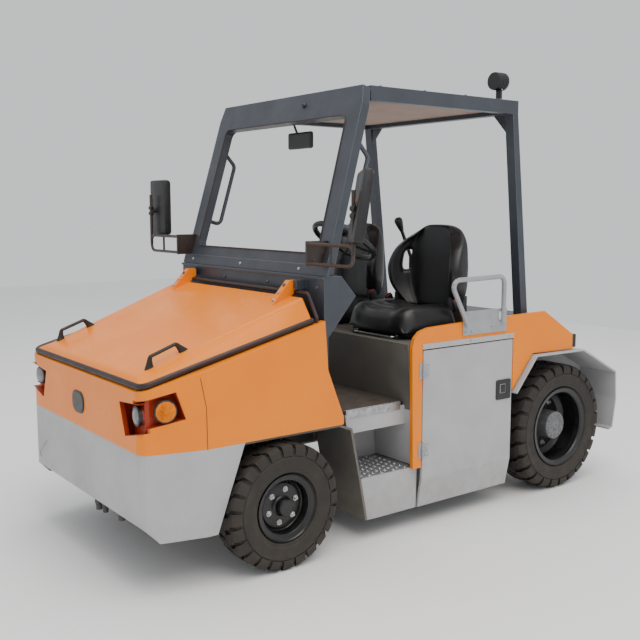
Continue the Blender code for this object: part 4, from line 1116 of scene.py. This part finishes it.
def make_rear_fittings(side_name, side):
    """Lamp lenses on the tail lamp block and bolts along the mudguard."""
    making = Making()
    y = 2.0103
    for z, finish in ((0.852, "amber"), (0.815, "red")):
        making.box((side * 0.606, y, z - 0.016), (side * 0.667, y + 0.005, z + 0.016), finish,
            0.002)
    for y_bolt, z_bolt in ((1.7, 0.7885), (1.95, 0.785)):
        making.bolt((side * 0.56, y_bolt, z_bolt + 0.0012), UP, 0.0075)
    making.piece(f"tail_fittings_{side_name}", "root")


def make_deck_fittings():
    """Lid seam, bolts and two slam latches on the deck over the rear axle."""
    making = Making()
    for x in (-0.56, 0.56):
        making.box((x - 0.0015, 1.44, DECK_Z), (x + 0.0015, 1.715, 1.001), "seal")
    making.box((-0.5615, 1.4385, DECK_Z), (0.5615, 1.4415, 1.001), "seal")
    for x in (-0.38, 0.38):
        making.box((x - 0.045, 1.65, DECK_Z), (x + 0.045, 1.7, 1.005), "plastic", 0.002)
        making.box((x - 0.03, 1.66, 1.0045), (x + 0.03, 1.685, 1.009), "black", 0.002)
    for x in (-0.615, 0.615):
        making.bolts([(x, y, DECK_Z) for y in (1.47, 1.59, 1.7)], UP, 0.0065)
    making.piece("deck_fittings", "root")


def make_under_fittings():
    """Steering link, brake hoses and axle bolts seen from below."""
    making = Making()
    making.rod((-0.375, 0.085, 0.3), (0.375, 0.085, 0.3), 0.013, "black")
    for side in SIDES.values():
        making.rod((side * 0.375, 0.085, 0.282), (side * 0.375, 0.085, 0.318), 0.02, "black", 20)
        making.bolts([(side * x, y, 0.4397) for x in (0.3, 0.32) for y in (-0.03, 0.03)],
            (0, 0, -1), 0.005)
        hose = [(side * 0.345, 0.06, 0.52), (side * 0.36, 0.058, 0.47), (side * 0.372, 0.064, 0.4),
            (side * 0.378, 0.078, 0.325)]
        making.tube(hose, 0.006, "plastic", 8)
    making.piece("steering_link", "root")


# ---------------------------------------------------------------- finishes on the frame's own nodes
NODE_FINISHES = {"orange": ["bonnet", "nose_panel", "front_fender_*", "side_panel_*"],
    # the lamp clusters take the same darker orange, painted shade inside their pockets
    "pocket": ["lamp_cluster_*"],
    "grey": ["front_bumper", "step_*", "side_door_*", "rear_mudguard_*"],
    "charcoal": ["cowl", "windscreen_frame", "roof_frame", "rear_deck", "grab_handle_*"],
    "black": ["chassis_frame", "rear_hitch", "front_axle", "rear_axle", "floor_plate", "knuckle_*"],
    "dark": ["seat_box", "battery_block", "wheel_liner_*"],
    "silver": ["handrail_*"],
    "liner": ["roof_panel"],
    "plastic": ["steering_column", "interior_mirror", "work_lamp", "control_lever",
        "bonnet_handle_*", "tail_lamp_*"],
    "strap": ["mirror_*"]}


def finish_frame():
    """Gives each node of the frame its finish."""
    for finish, names in NODE_FINISHES.items():
        for name in names:
            each = [name.replace("*", side) for side in SIDES] if "*" in name else [name]
            for node in each:
                mesh = frame["nodes"][node].data
                mesh.materials.clear()
                mesh.materials.append(SETTINGS["finishes"][finish])


# ---------------------------------------------------------------- stage
def make_stage(stage):
    """Floor, even sky, three soft lamps and a camera off the left front corner."""
    making = Making()
    making.grid([[(x, y, -0.0005) for x in (-14.0, 14.0)] for y in (-14.0, 7.0)], "floor")
    mesh = bpy.data.meshes.new("studio_floor")
    making.work.to_mesh(mesh)
    making.work.free()
    mesh.materials.append(SETTINGS["finishes"]["floor"])
    floor = bpy.data.objects.new("studio_floor", mesh)
    link(floor)
    world = bpy.data.worlds.new("studio")
    bpy.context.scene.world = world
    world.use_nodes = True
    back = world.node_tree.nodes["Background"]
    back.inputs["Color"].default_value = linear("#F4F6F8")
    back.inputs["Strength"].default_value = stage.fill
    lamps = (("key", (4.2, -1.2, 6.6), (0, 0, 0.6), 5.0, stage.key, "#FFF8F0"),
        ("top", (0.0, 0.5, 7.5), (0, 0, 0.5), 6.0, stage.key * 0.95, "#FFFFFF"),
        ("front", (-2.5, -7.5, 3.5), (0, 0, 0.8), 4.0, stage.key * 0.06, "#EEF4FF"),)
    for name, place, target, size, power, colour in lamps:
        light = bpy.data.lights.new(name, "AREA")
        light.size = size
        light.energy = power
        light.color = linear(colour)[:3]
        lamp = bpy.data.objects.new(name, light)
        lamp.location = place
        lamp.rotation_euler = (Vector(target) - Vector(place)).to_track_quat("-Z", "Y").to_euler()
        link(lamp)
    camera_data = bpy.data.cameras.new("camera")
    camera_data.sensor_width = 36
    camera_data.lens = stage.lens
    camera = bpy.data.objects.new("camera", camera_data)
    yaw, pitch, place = 0.9258, 0.1272, Vector((3.7425, -3.0092, 1.5799))
    ahead = Vector((-math.sin(yaw) * math.cos(pitch), math.cos(yaw) * math.cos(pitch),
        -math.sin(pitch)))
    right = Vector((math.cos(yaw), math.sin(yaw), 0))
    up = right.cross(ahead)
    turn = Matrix((right, up, -ahead)).transposed().to_4x4()
    camera.matrix_world = Matrix.Translation(place) @ turn
    link(camera)
    bpy.context.scene.camera = camera


# ---------------------------------------------------------------- add-on
def colour_setting(name, description, code):
    """A colour that a user can change, from its sRGB hex value."""
    return bpy.props.FloatVectorProperty(name=name, description=description, subtype="COLOR",
        size=4, min=0.0, max=1.0, default=linear(code))


class PaintSettings(bpy.types.PropertyGroup):
    body: colour_setting("Body", "Powder coat on the nose, bonnet and side panels", "#F48600")
    panels: colour_setting("Panels", "Enamel on the bumper, doors, steps and mudguards", "#B0B0B1")
    frame: colour_setting("Frame", "Coat on the cowl, cab frame and rear deck", "#3C4149")
    seats: colour_setting("Seats", "Vinyl on both seats", "#111113")


class TyreSettings(bpy.types.PropertyGroup):
    front_lugs: bpy.props.IntProperty(name="Front lugs",
        description="Blocks round a front tyre, each side", default=24, min=12)
    rear_lugs: bpy.props.IntProperty(name="Rear lugs",
        description="Blocks round a rear tyre, each side", default=26, min=12)
    depth: bpy.props.FloatProperty(name="Tread depth",
        description="Depth of the grooves at the crown", default=0.014, unit="LENGTH")


class TrimSettings(bpy.types.PropertyGroup):
    button_pitch: bpy.props.FloatProperty(name="Button pitch",
        description="Between grip rings on a step", default=0.038, unit="LENGTH")


class StageSettings(bpy.types.PropertyGroup):
    fill: bpy.props.FloatProperty(name="Fill", description="Strength of the light from all round",
        default=0.9)
    key: bpy.props.FloatProperty(name="Key", description="Power of the key light", default=290.0,
        unit="POWER")
    lens: bpy.props.FloatProperty(name="Lens", description="Focal length in millimetres",
        default=49.606)


class FinishFrame(bpy.types.Operator):
    """Paint the frame's own parts"""

    bl_idname = "tug.finish_frame"
    bl_label = "Paint the frame"

    def execute(self, context):
        SETTINGS["finishes"] = make_finishes(context.scene.tug_paint)
        SETTINGS["trim"] = context.scene.tug_trim
        finish_frame()
        return {"FINISHED"}


class AddWheels(bpy.types.Operator):
    """Treaded tyres and painted rims on all four wheels"""

    bl_idname = "tug.add_wheels"
    bl_label = "Add wheels"

    def execute(self, context):
        tyres = context.scene.tug_tyres
        for name, side in SIDES.items():
            make_tyre("front", name, side, FRONT, tyres.front_lugs, tyres.depth)
            make_tyre("rear", name, side, REAR, tyres.rear_lugs, tyres.depth * 1.15)
            make_front_rim(name, side)
            make_rear_rim(name, side)
        return {"FINISHED"}


class AddSeats(bpy.types.Operator):
    """Both seats with their backs, cushions, piping and bases"""

    bl_idname = "tug.add_seats"
    bl_label = "Add seats"

    def execute(self, context):
        for owner, side in (("driver", 1), ("passenger", -1)):
            make_seat_back(owner, side)
            make_seat_piping(owner, side)
            make_cushion(owner, side)
            make_seat_base(owner, side)
        return {"FINISHED"}


class AddNose(bpy.types.Operator):
    """Seal, lid fittings, lamps and nose trim"""

    bl_idname = "tug.add_nose"
    bl_label = "Add nose fittings"

    def execute(self, context):
        make_lid_seal()
        make_lid_fittings()
        make_nose_trim()
        make_battery_top()
        for name, side in SIDES.items():
            make_lamps(name, side)
        return {"FINISHED"}


class AddCab(bpy.types.Operator):
    """Windscreen, dash, steering, lever, mirrors and roof fittings"""

    bl_idname = "tug.add_cab"
    bl_label = "Add cab fittings"

    def execute(self, context):
        make_screen_fittings()
        make_screen_gasket()
        make_dash()
        make_steering_trim()
        make_lever_trim()
        make_roof_trim()
        for name, side in SIDES.items():
            make_mirror_glass(name, side)
        return {"FINISHED"}


class AddBodySides(bpy.types.Operator):
    """Floor mat, steps, doors, handrails and tail fittings"""

    bl_idname = "tug.add_body_sides"
    bl_label = "Add body side fittings"

    def execute(self, context):
        make_floor_mat()
        make_under_fittings()
        make_deck_fittings()
        for name, side in SIDES.items():
            make_step_tread(name, side)
            make_door_fittings(name, side)
            make_handrail_fittings(name, side)
            make_rear_fittings(name, side)
        return {"FINISHED"}


class SetStage(bpy.types.Operator):
    """Floor, soft light and camera"""

    bl_idname = "tug.set_stage"
    bl_label = "Set the stage"

    def execute(self, context):
        make_stage(context.scene.tug_stage)
        return {"FINISHED"}


STEPS = (FinishFrame, AddWheels, AddSeats, AddNose, AddCab, AddBodySides, SetStage)


class TugPanel(bpy.types.Panel):
    """Lists the steps that dress the tug"""

    bl_idname = "VIEW3D_PT_baggage_tug"
    bl_label = "Baggage tug"
    bl_space_type = "VIEW_3D"
    bl_region_type = "UI"
    bl_category = "Baggage tug"

    def draw(self, context):
        for step in STEPS:
            self.layout.operator(step.bl_idname)
        for key, kind in GROUPS.items():
            for name in kind.__annotations__:
                self.layout.prop(getattr(context.scene, key), name)


GROUPS = {"tug_paint": PaintSettings, "tug_tyres": TyreSettings, "tug_trim": TrimSettings,
    "tug_stage": StageSettings}


def register():
    for kind in (*GROUPS.values(), *STEPS, TugPanel):
        bpy.utils.register_class(kind)
    for name, group in GROUPS.items():
        setattr(bpy.types.Scene, name, bpy.props.PointerProperty(type=group))


def unregister():
    for name in GROUPS:
        delattr(bpy.types.Scene, name)
    for kind in reversed((*GROUPS.values(), *STEPS, TugPanel)):
        bpy.utils.unregister_class(kind)


def main():
    register()
    for step in STEPS:
        module, name = step.bl_idname.split(".")
        getattr(getattr(bpy.ops, module), name)()


if __name__ == "__main__":
    main()
